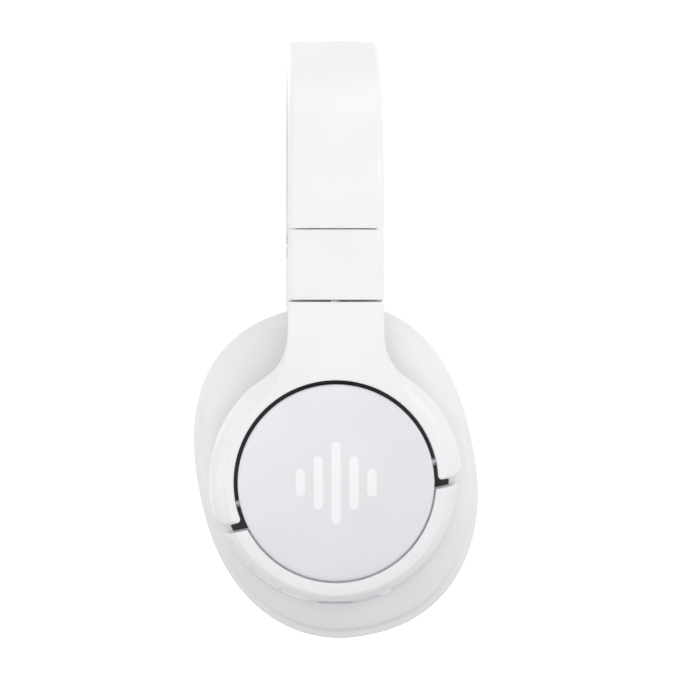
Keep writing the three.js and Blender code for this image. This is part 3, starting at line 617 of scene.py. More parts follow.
def tip_inset(distance, radius):
    """How far a corner of a radius is drawn in, at a distance from the end."""
    return 0 if distance >= radius else radius - math.sqrt(radius ** 2 - (radius - distance) ** 2)


def yoke_half(turn):
    """Rings of the yoke from the tip of one arm to the middle of the stem. Turn is 1 for the front arm."""
    def tip_angle(radius):
        return math.acos(YOKE.tip / radius) - turn * CUP_LEAN

    def on_ring(radius, join_angle, share):
        angle = tip_angle(radius) * (1 - share) + join_angle * share
        return np.array([math.sin(angle), math.cos(angle)]) * radius

    def joint_angle(points):
        return math.atan2(*points[0])

    arc = YOKE.crease * (tip_angle(YOKE.crease) - joint_angle(FRONT_EDGE))
    distances = TIP_STEPS + list(np.linspace(4.4, arc, 30))[:-1]
    plan = []
    for distance in distances:
        share = distance / arc
        inner = YOKE.inner + tip_inset(distance, TIP_CORNERS.inner)
        crease = YOKE.crease - tip_inset(distance, TIP_CORNERS.crease)
        outer = YOKE.outer - tip_inset(distance, TIP_CORNERS.outer)
        plan.append((
            on_ring(inner, joint_angle(FRONT_EDGE), share), on_ring(crease, joint_angle(FRONT_EDGE), share),
            on_ring(outer, joint_angle(BACK_EDGE), share), SOFT.ring, tip_inset(distance, TIP_CORNERS.edge),
            FLANK_BULGE))
    side_count, top_count = 22, 9
    corner = [(BAND.half, STEM_TOP - 1), (BAND.half - 0.15, STEM_TOP - 0.25), (BAND.half - 0.8, STEM_TOP)]
    front = np.concatenate([even(FRONT_EDGE + corner[:1], side_count), corner[1:]])
    back = np.concatenate([even(BACK_EDGE + corner[:1], side_count), corner[1:]])
    top = np.column_stack([np.linspace(corner[2][0], 0, top_count)[1:], np.full(top_count - 1, STEM_TOP)])
    front, back = np.concatenate([front, top]), np.concatenate([back, top])
    inner_angles = np.linspace(joint_angle(FRONT_EDGE), 0, len(front))
    for i, angle in enumerate(inner_angles):
        inner = np.array([math.sin(angle), math.cos(angle)]) * YOKE.inner
        rise = min(1, max(0, (front[i][1] - 28) / 12))
        soft = SOFT.top if i >= side_count else SOFT.ring + (SOFT.side - SOFT.ring) * rise
        plan.append((inner, front[i], back[i], soft, 0, FLANK_BULGE * (1 - rise) ** 2))
    return [yoke_section(*station) for station in plan]


def yoke_section(inner, front, back, soft, draw_in, bulge):
    """One ring of the yoke, in (x, z) from the pivot with y outwards from the pivots' plane."""
    stem_top_front = arm(0, BAND.skin - BAND.crown, BLOCK.length)[1] - PIVOT[1]
    stem_top_back = arm(0, -BAND.skin, BLOCK.length)[1] - PIVOT[1]

    def at(point, heights, levels):
        return np.array([point[0], np.interp(point[1], heights, levels), point[1]])

    def on_front(point):
        return at(point, (THIN_FROM, THIN_FROM + 6, STEM_TOP), (
            YOKE.face - draw_in, YOKE.face - draw_in - 0.1, stem_top_front))

    def on_back(point):
        return at(point, (THIN_FROM, STEM_TOP), (-YOKE.back + draw_in, stem_top_back))

    inner_front, outer_front = on_front(inner), on_front(front)
    inner_back, outer_back = on_back(inner), on_back(back)
    arcs = [
        corner_arc(inner_back, inner_front, outer_front, 0.35, 3),
        corner_arc(inner_front, outer_front, outer_back, soft, 5),
        corner_arc(outer_front, outer_back, inner_back, SOFT.back, 3),
        corner_arc(outer_back, inner_back, inner_front, 0.35, 2),
    ]
    share = np.linspace(0, 1, 11)[1:-1, None]
    flank_share = np.linspace(0, 1, 8)[1:-1, None]
    outwards = np.cross(outer_back - outer_front, (-front[1], 0, front[0]))
    outwards *= math.copysign(bulge, outwards @ (front[0], 0, front[1])) / np.linalg.norm(outwards)
    flank = (arcs[1][-1] * (1 - flank_share) + arcs[2][0] * flank_share
             + outwards * 4 * flank_share * (1 - flank_share))
    front_rows = arcs[0][-1] * (1 - share) + arcs[1][0] * share
    back_rows = arcs[2][-1] * (1 - share) + arcs[3][0] * share
    front_rows[:, 1] = [on_front(row[[0, 2]])[1] for row in front_rows]
    back_rows[:, 1] = [on_back(row[[0, 2]])[1] for row in back_rows]
    return np.concatenate([arcs[0], front_rows, arcs[1], flank, arcs[2], back_rows, arcs[3]])


def yoke(side_name, side):
    front = np.array(yoke_half(1))
    rear = np.array(yoke_half(-1))[::-1] * (-1, 1, 1)
    surface = skin_of(np.concatenate([front, rear[1:]]))
    body = mesh_object(f"yoke_fork_{side_name}", (surface[0] + PIVOT, surface[1]), LACQUERED_ABS, side)
    drop = BLOCK.length + COVER.top
    floor, foot = PIVOT[1] - YOKE.back + COVER.thick + GAP, PIVOT[2] + THIN_FROM + COVER.foot
    beyond = 2 * BAND.skin
    wide = BAND.half - YOKE.wall
    outline = [arm(0, -beyond, drop), arm(0, BAND.skin - 2 * YOKE.wall, drop),
               (0, floor, foot), (0, floor - beyond, foot)]
    hollow = skin_of([np.array(outline) + (x, 0, 0) for x in (-wide, wide)])
    post_hole = post_rod(POST.radius + GAP, BLOCK.length - 1, BLOCK_END + SEAM + POST.in_yoke + GAP)
    return combined(body, [hollow, post_hole], side=side)


# ---------------------------------------------------------------- cups, in a frame that leans back
def from_cup(points):
    """Points of a cup's own frame as points of its side."""
    x, y, z = np.moveaxis(np.asarray(points, float), -1, 0)
    cos, sin = math.cos(CUP_LEAN), math.sin(CUP_LEAN)
    return np.stack([x * cos - z * sin, y, x * sin + z * cos], -1) + PIVOT


def oval_reach(angle):
    """The cup's outline, from its middle: a rounded oval that is squarer at the top."""
    square = CUP.square_top if math.cos(angle) > 0 else CUP.square_foot
    sideways = abs(math.sin(angle) / CUP.half_short) ** square
    upwards = abs(math.cos(angle) / CUP.half_long) ** square
    return (sideways + upwards) ** (-1 / square)


def on_round(radius, y):
    """A profile point on a circle round the pivot."""
    return radius, 0, 0, y


def on_oval(inset, y):
    """A profile point set in from the oval."""
    return 0, inset, 1, y


def between(radius, inset, share, y):
    """A profile point part of the way from a circle to the oval."""
    return radius, inset, share, y


def turned(profile, radii=0, count=192, start=0, end=2 * math.pi, steps=4):
    """Rings of a profile turned round the cup, from one angle forward of straight up to another."""
    rings = []
    whole = end - start > 6.28
    for angle in np.linspace(start, end, count, endpoint=not whole):
        reach = oval_reach(angle)
        flat = [((1 - share) * r + share * (reach - inset), y, share) for r, inset, share, y in profile]
        r, y, share = rounded(flat, radii, steps).T
        rings.append(np.column_stack([
            r * math.sin(angle) + share * CUP.forward, y, r * math.cos(angle) + share * CUP.up]))
    return from_cup(rings)


def bowl():
    wall, shelf, rim, drum = SHELL.wall, SHELL.shelf, SHELL.rim, SHELL.drum
    roof = SHELL.deck - wall
    profile = [
        (on_round(0, SHELL.deck), 0), (on_round(drum, SHELL.deck), 0.3), (on_round(drum, shelf), 1),
        (on_round(SHELL.shoulder, shelf - 0.4), 3), (between(34, 0, 0.42, shelf - 2.4), 4),
        (between(34, 0, 0.78, shelf - 5.2), 4), (on_oval(2.4, rim + 1.9), 2),
        (on_oval(0.1, rim + 0.5), 0.6), (on_oval(0, rim), 0.15), (on_oval(wall, rim), 0),
        (between(33, wall, 0.75, shelf - 5.6 - wall), 1), (between(32, wall, 0.3, shelf - 2.6 - wall), 1),
        (on_round(drum - wall, shelf - wall), 0.5), (on_round(drum - wall, roof), 0), (on_round(0, roof), 0),
    ]
    return skin_of(turned([point for point, _ in profile], [radius for _, radius in profile]), "joined")


COLLAR_ENDS = [(0, 0.45), (0.12, 0.2), (0.45, 0)]  # rounding of the level ends: how far along, how far in


def collar():
    """The raised collar round the lower half of the cap; its ends are level under the yoke's tips.
    Its last ring falls on the first one, which also joins the ends straight across behind the cap."""
    foot, root = SHELL.shelf - 1, SHELL.drum - 1
    outer, top = COLLAR.outer, YOKE.face
    profile = [(root, foot), (outer + COLLAR.flare, foot), (outer + COLLAR.flare * 0.6, foot + 2.2),
               (outer, COLLAR.waist), (outer, top - COLLAR.bevel), (outer - COLLAR.bevel, top),
               (COLLAR.inner, top), (COLLAR.inner, SHELL.deck - 0.3), (root, SHELL.deck - 0.3)]
    loop = rounded(profile, [0, 0.5, 2, 2, 0.6, 0.5, 0.3, 0, 0])
    first = np.arccos(COLLAR.top / loop[:, 0])
    arc = ((2 * math.pi - 2 * first) * loop[:, 0]).min()
    stations = COLLAR_ENDS + [(step, 0) for step in np.linspace(1.5, 100, 110)[:-1]]
    half = [(step, inset) for step, inset in stations if step < arc / 2]
    centre = np.array([(outer + root) / 2, (foot + top) / 2])
    rings = []
    for step, inset in half + [(arc / 2, 0)] + [(-step, inset) for step, inset in reversed(half)]:
        share = step / arc if step >= 0 else 1 + step / arc
        angle = first * (1 - share) + (2 * math.pi - first) * share
        way = loop - centre
        drawn = loop - inset * way / np.linalg.norm(way, axis=1)[:, None]
        rings.append(np.column_stack([drawn[:, 0] * np.sin(angle), drawn[:, 1], drawn[:, 0] * np.cos(angle)]))
    return skin_of(from_cup(rings))


def rim_point(radius, angle, y):
    """A point of the rim, at an angle behind the world's straight down."""
    return np.array([-radius * math.sin(angle), y, -radius * math.cos(angle)]) + PIVOT


def rim_block(inner, outer, low, high, middle, half, ease=0.0, count=10):
    """A block that follows the rim, with its edges eased."""
    corners = [(inner, low), (outer, low), (outer, high), (inner, high)]
    stations = [(angle, 0) for angle in np.linspace(middle - half, middle + half, count)]
    if ease:
        turn = ease / outer
        stations = ([(middle - half, ease), (middle - half + turn * 0.3, ease * 0.3)]
                    + [(angle, 0) for angle in np.linspace(middle - half + turn, middle + half - turn, count)]
                    + [(middle + half - turn * 0.3, ease * 0.3), (middle + half, ease)])
    rings = []
    for angle, inset in stations:
        drawn = [(r + (inset if r == inner else -inset), y + (inset if y == low else -inset))
                 for r, y in corners]
        loop = rounded(drawn, ease, 3) if ease else drawn
        rings.append([rim_point(r, angle, y) for r, y in loop])
    return skin_of(rings)


def stadium(half_width, half_height, steps=8):
    """A flat oval with straight long sides, as (across, up)."""
    straight = half_width - half_height
    turn = np.linspace(-math.pi / 2, math.pi / 2, steps)
    right = np.column_stack([straight + half_height * np.cos(turn), half_height * np.sin(turn)])
    return np.concatenate([right, -right])


def radial(outline, depths, angle=0.0, level=0.0):
    """Rings of an (across, up) outline at depths in from the collar, at an angle of the rim."""
    rings = []
    for depth, inset in depths:
        loop = np.asarray(outline) * (1 - inset / np.abs(outline).max(0))
        rings.append([
            rim_point(COLLAR.outer - depth, angle, level + up)
            + across * np.array([math.cos(angle), 0, -math.sin(angle)]) for across, up in loop])
    return rings


SIDE_GAP = GAP / BUTTON.root  # a clearance as an angle at the rim
PIN_HOLE = 1.4  # radius of the holes the cup turns on


def rim_pocket(angle, half):
    return rim_block(BUTTON.root - BUTTON.travel - GAP, BUTTON.face + 2, BUTTON.low - GAP, BUTTON.high + GAP,
                     math.radians(angle), half)


def circle(radius, count=28):
    turn = np.linspace(0, 2 * math.pi, count, endpoint=False)
    return np.column_stack([radius * np.cos(turn), radius * np.sin(turn)])


def cup_shell(side_name, side):
    shell = mesh_object(f"cup_housing_{side_name}", bowl(), CUP_ABS, side)
    combined(shell, [collar()], "UNION", side)
    if side_name == "right":
        port = stadium(PORT.half_width + GAP, PORT.half_height + GAP)
        light = radial(circle(LIGHT.radius + GAP), [(-3, 0), (LIGHT.length + GAP, 0)],
                       math.radians(LIGHT.angle), LIGHT.level)
        cuts = [rim_pocket(angle, BUTTON.half + SIDE_GAP) for angle in BUTTONS.values()]
        cuts += [rim_pocket(SWITCH.slot, SWITCH.slot_half),
                 skin_of(radial(port, [(-3, 0), (PORT.depth + GAP, 0)], 0, PORT.level)), skin_of(light)]
    else:
        cuts = [skin_of(radial(circle(JACK.radius + GAP), [(-3, 0), (JACK.depth + GAP, 0)], 0, JACK.level))]
    pin_line = from_cup([(-SHELL.drum - 1, 0, 0), (SHELL.drum + 1, 0, 0)])
    cuts.append(rod(*pin_line, PIN_HOLE))
    return combined(shell, cuts, side=side)


def drum_shade_ring(side_name, side):
    """A dark ring, drawn as rubber, round the foot of the drum, where the fork turns over it: painted shade,
    put there so that the gap round the cap looks deep.
    """
    shelf = SHELL.shelf
    profile = [on_round(SHELL.drum + 0.1, shelf - 0.1), on_round(GAP_SHADE_RING.outer, shelf - 0.4),
               on_round(GAP_SHADE_RING.outer, shelf + GAP_SHADE_RING.thick - 0.3),
               on_round(SHELL.drum + 0.1, shelf + GAP_SHADE_RING.thick)]
    return mesh_object(f"drum_gasket_{side_name}",
                       skin_of(turned(profile, [0, 0, 0.4, 0], 120), "joined"), GAP_SHADE_BLACK, side)


def dome(radius):
    """The height of the cap's face at a distance from its middle."""
    return CAP.edge + CAP.dome * (1 - (radius / CAP.radius) ** 2)


def cup_cap(side_name, side):
    face = [on_round(r, dome(r)) for r in np.linspace(CAP.radius, 0, 14)]
    profile = [on_round(0, CAP.seat), on_round(CAP.radius, CAP.seat), *face]
    radii = [0, 0.2, CAP.ease] + [0] * (len(profile) - 3)
    return mesh_object(f"cup_cap_disc_{side_name}", skin_of(turned(profile, radii, 160), "joined"),
                       PEARL_LACQUER, side)


EMBLEM_BARS = [(-10.4, 4.2), (-5.2, 8), (0, 12.2), (5.2, 8), (10.4, 4.2)]  # place across and half height
BAR = Sizes(half_width=1.45, proud=0.16, sunk=0.4, ease=0.12)


def cap_emblem(side_name, side):
    """A plain row of rising and falling sound bars, inlaid proud of the cap."""
    steps = ((-BAR.sunk, 0), (BAR.proud - BAR.ease, 0), (BAR.proud - 0.03, BAR.ease * 0.4),
             (BAR.proud, BAR.ease * 1.2), (BAR.proud, BAR.half_width / 2), (BAR.proud, BAR.half_width - 0.02))
    bars = []
    for middle_x, half_height in EMBLEM_BARS:
        outline = spaced(stadium(half_height, BAR.half_width, 7)[:, ::-1], 56)
        rings = []
        for lift, inset in steps:
            loop = outline * (1 - inset / np.abs(outline).max(0))
            x, z = loop[:, 0] + middle_x, loop[:, 1]
            rings.append(np.column_stack([x, dome(np.hypot(x, z)) + lift, z]) + PIVOT)
        bars.append(skin_of(rings))
    return mesh_object(f"cap_emblem_{side_name}", together(bars), EMBLEM_LACQUER, side)


def rim_buttons():
    """The three keys of the right cup, and the switch's key at the rear end of its slot."""
    switch_at = SWITCH.slot + math.degrees(SWITCH.slot_half - SWITCH.half - SIDE_GAP)
    keys = [(f"{name}_key", angle, BUTTON.half, name, f"{name}_button") for name, angle in BUTTONS.items()]
    keys.append(("power_slide_key", switch_at, SWITCH.half, "switch", "power_switch"))
    for name, angle, half, body, node in keys:
        block = rim_block(BUTTON.root, BUTTON.face, BUTTON.low, BUTTON.high, math.radians(angle), half,
                          BUTTON.ease)
        settle(mesh_object(name, block, LACQUERED_ABS, -1), body, "shell_white", node)


def charging_port():
    """A pressed metal socket with a tongue in its mouth."""
    outer = stadium(PORT.half_width, PORT.half_height)
    mouth = stadium(PORT.mouth_width, PORT.mouth_height)
    back = PORT.depth - 0.8
    rings = (radial(outer, [(PORT.depth, 0), (0.2, 0), (-0.05, 0.25)], 0, PORT.level)
             + radial(mouth, [(0.05, -0.2), (0.3, 0), (back, 0)], 0, PORT.level))
    socket = mesh_object("charging_socket", skin_of(rings), SPRING_STEEL, -1)
    rings = radial(stadium(3.2, 0.35, 4), [(back + 0.2, 0), (1.2, 0), (1.05, 0.15)], 0, PORT.level)
    tongue = mesh_object("charging_socket_tongue", skin_of(rings), GREY_NYLON, -1)
    settle(socket, "cup_right", "spring_steel", "charging_port")
    settle(tongue, "cup_right", "grey_plastic")


def audio_jack():
    bore = JACK.depth - JACK.back
    rings = (radial(circle(JACK.radius), [(JACK.depth, 0), (0.2, 0), (-0.1, 0.25)], 0, JACK.level)
             + radial(circle(JACK.bore), [(-0.02, -0.35), (0.35, 0), (bore, 0)], 0, JACK.level))
    sleeve = mesh_object("audio_socket_sleeve", skin_of(rings), GREY_NYLON)
    settle(sleeve, "cup_left", "grey_plastic", "audio_jack")


def status_light():
    rings = radial(circle(LIGHT.radius, 20), [(LIGHT.length, 0), (0, 0), (-0.08, 0.08), (-0.1, 0.3)],
                   math.radians(LIGHT.angle), LIGHT.level)
    lens = mesh_object("status_light_lens", skin_of(rings), LENS, -1)
    settle(lens, "cup_right", "light_lens", "status_light")


def pad_ring(side_name, side):
    low = PAD_SIDE - RING.thick
    profile = [on_oval(RING.width, low), on_oval(RING.inset, low), on_oval(RING.inset, PAD_SIDE),
               on_oval(RING.width, PAD_SIDE)]
    return mesh_object(f"pad_clip_ring_{side_name}",
                       skin_of(turned(profile, [0, 0.3, 0.3, 0], 160), "joined"), GREY_NYLON, side)


def grille_cloth(side_name, side):
    """A cloth stretched flat behind the ear pad's opening, with its edge turned back."""
    face, count = PAD_SIDE - GRILLE.thick, 120
    rings = []
    for share in np.linspace(0, 1, 22):
        ring = []
        for angle in np.linspace(0, 2 * math.pi, count, endpoint=False):
            reach = (oval_reach(angle) - GRILLE.inset) * share
            ring.append((reach * math.sin(angle) + CUP.forward, face, reach * math.cos(angle) + CUP.up))
        rings.append(ring)
    turned_back = [(x, PAD_SIDE, z) for x, _, z in rings[-1]]
    points, faces = skin_of(from_cup([*rings, turned_back]), "open")
    return mesh_object(f"grille_cloth_{side_name}", (points, faces), CLOTH, side)


# ---------------------------------------------------------------- pads
SIM_SCALE = 20  # cloth is simulated at metre size, where Blender's cloth is steady


def inflated(surface, pins, most, pressure=4.0):
    """Puffs a closed surface up as cloth under pressure. Pins are weights that hold points back, and
    no point moves further than most millimetres."""
    points, faces = np.asarray(surface[0], float), surface[1]
    centre = points.mean(0)
    mesh = bpy.data.meshes.new("pad_form")
    mesh.from_pydata(((points - centre) * MM * SIM_SCALE).tolist(), [], faces)
    form = bpy.data.objects.new("pad_form", mesh)
    bpy.context.scene.collection.objects.link(form)
    group = form.vertex_groups.new(name="held")
    for index, weight in enumerate(pins):
        if weight:
            group.add([index], float(weight), "REPLACE")
    cloth = form.modifiers.new("cloth", "CLOTH")
    cloth.settings.quality = 6
    cloth.settings.mass = 0.4
    cloth.settings.tension_stiffness = cloth.settings.compression_stiffness = 12
    cloth.settings.shear_stiffness = 6
    cloth.settings.bending_stiffness = 0.6
    cloth.settings.use_pressure = True
    cloth.settings.uniform_pressure_force = pressure
    cloth.settings.vertex_group_mass = "held"
    cloth.settings.effector_weights.gravity = 0
    cloth.collision_settings.use_collision = False
    cloth.point_cache.frame_end = 20
    scene = bpy.context.scene
    for step in range(1, 21):
        scene.frame_set(step)
    graph = bpy.context.evaluated_depsgraph_get()
    puffed = form.evaluated_get(graph).data
    found = np.zeros(len(points) * 3)
    puffed.vertices.foreach_get("co", found)
    moved = found.reshape(-1, 3) / (MM * SIM_SCALE) + centre
    bpy.data.objects.remove(form)
    scene.frame_set(1)
    shift = moved - points
    length = np.linalg.norm(shift, axis=1)[:, None]
    return points + shift * np.minimum(1, most / np.maximum(length, 1e-9)), faces


def softened(thing):
    """Smooths a pad by subdivision, as part of its mesh."""
    modifier = thing.modifiers.new("smooth", "SUBSURF")
    modifier.levels = modifier.render_levels = 1
    applied(thing)
    shade(thing, 60)
    return thing


PAD_ROWS = 40
PAD_AROUND = 168
SLACK = 0.8  # how much smaller the pads are cut before they swell
SEAM_DEPTH = 0.9


def pad_loop():
    """The ear pad's section as rows of (inset from the oval, level)."""
    seat, face, width, roll = PAD.seat, PAD.face, PAD.width, PAD.roll
    corners = [(width - 2, seat), (width, seat - 3), (width, face + roll * 0.7), (width - roll * 0.7, face),
               (roll, face), (roll * 0.25, face + roll * 0.45), (0, face + roll), (0, seat - 2), (1.2, seat)]
    smooth = rounded(corners, [0.8, 2, 3, 4, 4, 3, 3, 1.2, 0.8], 5)
    middle = smooth.mean(0)
    shrunk = middle + (smooth - middle) * (1 - 2 * SLACK / PAD.width)
    shrunk[:, 1] = np.minimum(shrunk[:, 1], seat)
    on_seat = smooth[:, 1] > seat - 0.05
    shrunk[on_seat, 1] = seat
    return spaced(shrunk, PAD_ROWS)


def ear_pad_surface():
    """The puffed ear pad in its side's frame, and the rows of its outer and inner seams."""
    loop = pad_loop()
    rings = []
    for angle in np.linspace(0, 2 * math.pi, PAD_AROUND, endpoint=False):
        reach = oval_reach(angle)
        pucker = 0.12 * math.sin(41 * angle) + 0.08 * math.sin(67 * angle + 1)
        ring = []
        for inset, level in loop:
            near_seam = math.exp(-((inset - PAD.width) ** 2 + (level - PAD.seat + 9) ** 2) / 60)
            r = reach - inset - pucker * near_seam
            ring.append((r * math.sin(angle) + CUP.forward, level, r * math.cos(angle) + CUP.up))
        rings.append(ring)
    outer_row = int(np.argmin((loop[:, 0] - SLACK) ** 2 + (loop[:, 1] - (PAD.seat - 4.2)) ** 2))
    inner_row = int(np.argmin((loop[:, 0] - PAD.width + 4) ** 2 + (loop[:, 1] - PAD.face - SLACK - 1.2) ** 2))
    points, faces = skin_of(from_cup(rings), "joined")
    row = np.tile(np.arange(PAD_ROWS), PAD_AROUND)
    level = np.tile(loop[:, 1], PAD_AROUND)
    pins = np.where(level > PAD.seat - 0.6, 1.0, 0.0)
    pins[row == outer_row] = 0.9
    pins[row == inner_row] = 0.9
    puffed, faces = inflated((points, faces), pins, 1.2)
    grid = puffed.reshape(PAD_AROUND, PAD_ROWS, 3)
    for seam in (outer_row, inner_row):
        around = (grid[:, (seam - 1) % PAD_ROWS] + grid[:, (seam + 1) % PAD_ROWS]) / 2
        grid[:, seam] = around + away(grid.mean(1), around) * SEAM_DEPTH
    return grid, faces, outer_row, inner_row


def tube(path, radius, count=8, closed=True):
    """A round cord along a path of points."""
    path = np.asarray(path, float)
    ahead = np.roll(path, -1, 0) - np.roll(path, 1, 0) if closed else np.gradient(path, axis=0)
    ahead /= np.linalg.norm(ahead, axis=1)[:, None]
    side = np.cross(ahead, (0, 1, 0))
    side /= np.linalg.norm(side, axis=1)[:, None]
    other = np.cross(ahead, side)
    turn = np.linspace(0, 2 * math.pi, count, endpoint=False)
    rings = [spot + radius * (np.cos(turn)[:, None] * a + np.sin(turn)[:, None] * b)
             for spot, a, b in zip(path, side, other)]
    return skin_of(rings, "joined" if closed else "capped")


STITCH = Sizes(length=2.1, pitch=3.1, radius=0.22, arch=0.5, sunk=0.25)


def away(points, middle):
    """Directions of one length from middles to points."""
    out = points - middle
    return out / np.linalg.norm(out, axis=1)[:, None]


def stitches(path, out):
    """Thread stitches along a closed seam; each arches out of the leather and back."""
    path = np.asarray(path, float)
    closed = np.concatenate([path, path[:1]])
    ways = np.concatenate([out, out[:1]])
    reach = np.concatenate([[0], np.cumsum(np.linalg.norm(np.diff(closed, axis=0), axis=1))])
    count = int(reach[-1] / STITCH.pitch)
    arch = np.sqrt(np.maximum(0, 1 - np.linspace(-1, 1, 7) ** 2))[:, None]
    made = []
    for i in range(count):
        along = (i + 0.5) * reach[-1] / count + np.linspace(-0.5, 0.5, 7) * STITCH.length
        spots, lift = (
            np.column_stack([np.interp(along % reach[-1], reach, line[:, axis]) for axis in range(3)])
            for line in (closed, ways))
        made.append(tube(spots + lift * (arch * STITCH.arch - STITCH.sunk), STITCH.radius, 6, closed=False))
    return together(made)


def ear_pads():
    """Both ear cushions, each with a welt round its outer seam and stitching along the inner one."""
    grid, faces, outer_row, inner_row = ear_pad_surface()
    middle = grid.mean(1)
    outer, inner = grid[:, outer_row], grid[:, inner_row]
    outer_way, inner_way = away(outer, middle), away(inner, middle)
    for side_name, side in SIDES.items():
        body = f"cup_{side_name}"
        pad = mesh_object(f"ear_cushion_{side_name}", (grid.reshape(-1, 3), faces), LEATHER, side, 60)
        softened(pad)
        settle(pad, body, "pad_leather", f"ear_pad_{side_name}")
        for name, surface, material in (
            ("welt", tube(outer + outer_way * 0.45, 0.5), LEATHER),
            ("stitching", stitches(inner + inner_way * 0.25, inner_way), THREAD),
        ):
            trim = mesh_object(f"ear_cushion_{name}_{side_name}", surface, material, side, 60)
            settle(trim, body, "pad_leather")


def crown_pad():
    """The slim cushion under the crown, with rounded ends."""
    half, top, bottom = CROWN_PAD.half - 0.4, -BAND.skin - GAP, -BAND.skin - CROWN_PAD.thick + 0.8
    corners = [(-half, top), (-half, top - 3), (-half + 4, bottom),
               (half - 4, bottom), (half, top - 3), (half, top)]
    loop = spaced(rounded(corners, [0.6, 2.6, 5, 5, 2.6, 0.6], 6), 44)
    lowest = math.pi / 2 - CROWN_PAD.spread
    spots, outwards = arch_line(lowest, 0, 1.5)
    pad_length = 2 * CROWN_PAD.spread * ARCH.top
    rings = []
    for i, (spot, way) in enumerate(zip(spots, outwards)):
        from_end = min(i, len(spots) - 1 - i) * pad_length / (len(spots) - 1)
        end = tip_inset(from_end, 6)
        thin = tip_inset(from_end, 4.5) / 4.5
        x = loop[:, 0] * (1 - end / half * 0.75)
        out = top + (loop[:, 1] - top) * (1 - 0.8 * thin)
        rings.append(np.column_stack([x, spot[0] + way[0] * out, spot[1] + way[1] * out]))
    points, faces = skin_of(rings)
    level = np.tile(loop[:, 1], len(rings))
    pins = np.where(level > top - 0.4, 1.0, 0.0)
    puffed, faces = inflated((points, faces), pins, 0.8)
    pad = mesh_object("crown_cushion", (puffed, faces), LEATHER, crease=60)
    softened(pad)
    settle(pad, "headband", "pad_leather", "headband_pad")


# ---------------------------------------------------------------- assembly
def carried(material, *nodes):
    """Gives CAD nodes that stay in view their real finish."""
    for node in nodes:
        thing = frame["nodes"][node]
        thing.data.materials.clear()
        thing.data.materials.append(material)


settle(headband_shell(), "headband", "shell_white", "headband_shell")
settle(headband_liner(), "headband", "liner_white", "headband_liner")
crown_pad()
for side_name, side in SIDES.items():
    cup = f"cup_{side_name}"
    settle(hinge_block_cover(side_name, side), f"hinge_{side_name}", "shell_white",
           f"hinge_block_cover_{side_name}")
    settle(yoke(side_name, side), f"fork_{side_name}", "shell_white", f"yoke_{side_name}")
    settle(cup_shell(side_name, side), cup, "cup_white", f"cup_shell_{side_name}")
    settle(cup_cap(side_name, side), cup, "shell_white", f"cup_cap_{side_name}")
    settle(cap_emblem(side_name, side), cup, "shell_white")
    # the dark ring is painted shade in the gap round the cap
    settle(drum_shade_ring(side_name, side), cup, "grey_plastic")
    settle(pad_ring(side_name, side), cup, "grey_plastic", f"pad_ring_{side_name}")
    cloth = settle(grille_cloth(side_name, side), cup, "grille_cloth", f"driver_grille_{side_name}")
ear_pads()
rim_buttons()
charging_port()
audio_jack()
status_light()

for side_name in SIDES:
    carried(SPRING_STEEL, *(f"{name}_{side_name}" for name in (
        "slider_strip", "block_screw", "fold_pin", "swivel_post", "pivot_pin_front", "pivot_pin_rear",
        "baffle_screw_1", "baffle_screw_2", "baffle_screw_3")))
    carried(LINER_PP, f"hinge_block_frame_{side_name}", f"yoke_cover_{side_name}")
    carried(GREY_NYLON, f"baffle_{side_name}", f"slider_guide_{side_name}")
    carried(DRIVER_STEEL, f"driver_{side_name}")
carried(SPRING_STEEL, "headband_spring")
carried(CABLE_PVC, "headband_cable")
carried(BATTERY_FILM, "battery")
carried(BOARD, "circuit_board")


# ---------------------------------------------------------------- floor and sky
SKY = Sizes(side=0.72, wall=1.05, horizon=1.0)
FLOOR = Sizes(half=12, below=0.12, glow=0.45)  # in metres, but for its glow


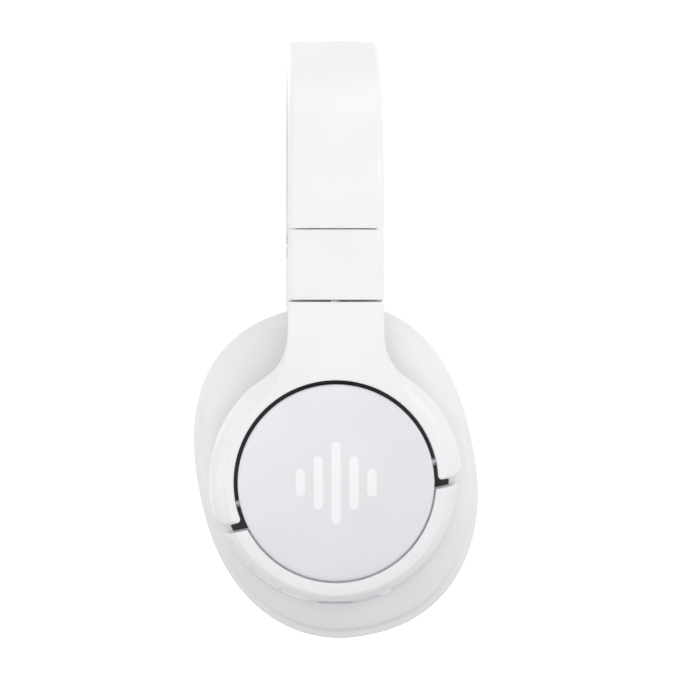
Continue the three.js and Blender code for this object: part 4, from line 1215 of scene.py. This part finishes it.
def pale_floor():
    """A pale floor, lower than the hanging object, with painted shade that leaves it grey near the middle and
    a painted glow that makes it white with distance.
    """
    made, tree, shader, place = new_material("matt_paper_painted_shade_and_glow", Roughness=0.9)
    reach = add_node(tree, "VectorMath", links={0: place}, operation="LENGTH")
    share = add_node(tree, "MapRange", {"From Min": 0.35, "From Max": 1.1}, {"Value": reach.outputs["Value"]})
    # painted shade: the floor is grey near the middle, under the object, and paler further out
    tone = add_node(tree, "ValToRGB", links={"Fac": share.outputs["Result"]},
                    stops=((0, "#c8c8ca"), (1, "#ffffff")))
    tree.links.new(tone.outputs["Color"], shader.inputs["Base Color"])
    # painted glow: the floor shines more and more white further out, though it is no lamp
    glow = add_node(tree, "MapRange", {"From Min": 0.4, "From Max": 1.15, "To Max": FLOOR.glow},
                    {"Value": reach.outputs["Value"]}, interpolation_type="SMOOTHSTEP")
    shader.inputs["Emission Color"].default_value = srgb("#ffffff")
    tree.links.new(glow.outputs["Result"], shader.inputs["Emission Strength"])
    half, level = FLOOR.half, cad_low.z - FLOOR.below
    mesh = bpy.data.meshes.new("floor")
    mesh.from_pydata([(-half, -half, level), (half, -half, level), (half, half, level), (-half, half, level)],
                     [], [(0, 1, 2, 3)])
    mesh.materials.append(made)
    floor = bpy.data.objects.new("floor", mesh)
    bpy.context.scene.collection.objects.link(floor)


pale_floor()


def studio_sky():
    """White all round near the horizon and on the wearer's left, and dimmer higher up."""
    world = bpy.data.worlds.new("studio")
    world.use_nodes = True
    tree = world.node_tree
    way = add_node(tree, "SeparateXYZ", links={0: add_node(tree, "TexCoord").outputs["Generated"]})
    glow = add_node(tree, "MapRange",
                    {"From Min": -0.2, "From Max": 0.97, "To Min": SKY.side, "To Max": SKY.wall},
                    {"Value": way.outputs["Y"]}, interpolation_type="SMOOTHSTEP")
    low = add_node(tree, "MapRange",
                   {"From Min": 0.5, "From Max": 0.2, "To Min": SKY.side, "To Max": SKY.horizon},
                   {"Value": way.outputs["Z"]}, interpolation_type="SMOOTHSTEP")
    brighter = add_node(tree, "Math", links={0: glow.outputs["Result"], 1: low.outputs["Result"]},
                        operation="MAXIMUM")
    tree.links.new(brighter.outputs["Value"], tree.nodes["Background"].inputs["Strength"])
    tree.nodes["Background"].inputs["Color"].default_value = srgb("#ffffff")
    bpy.context.scene.world = world


studio_sky()
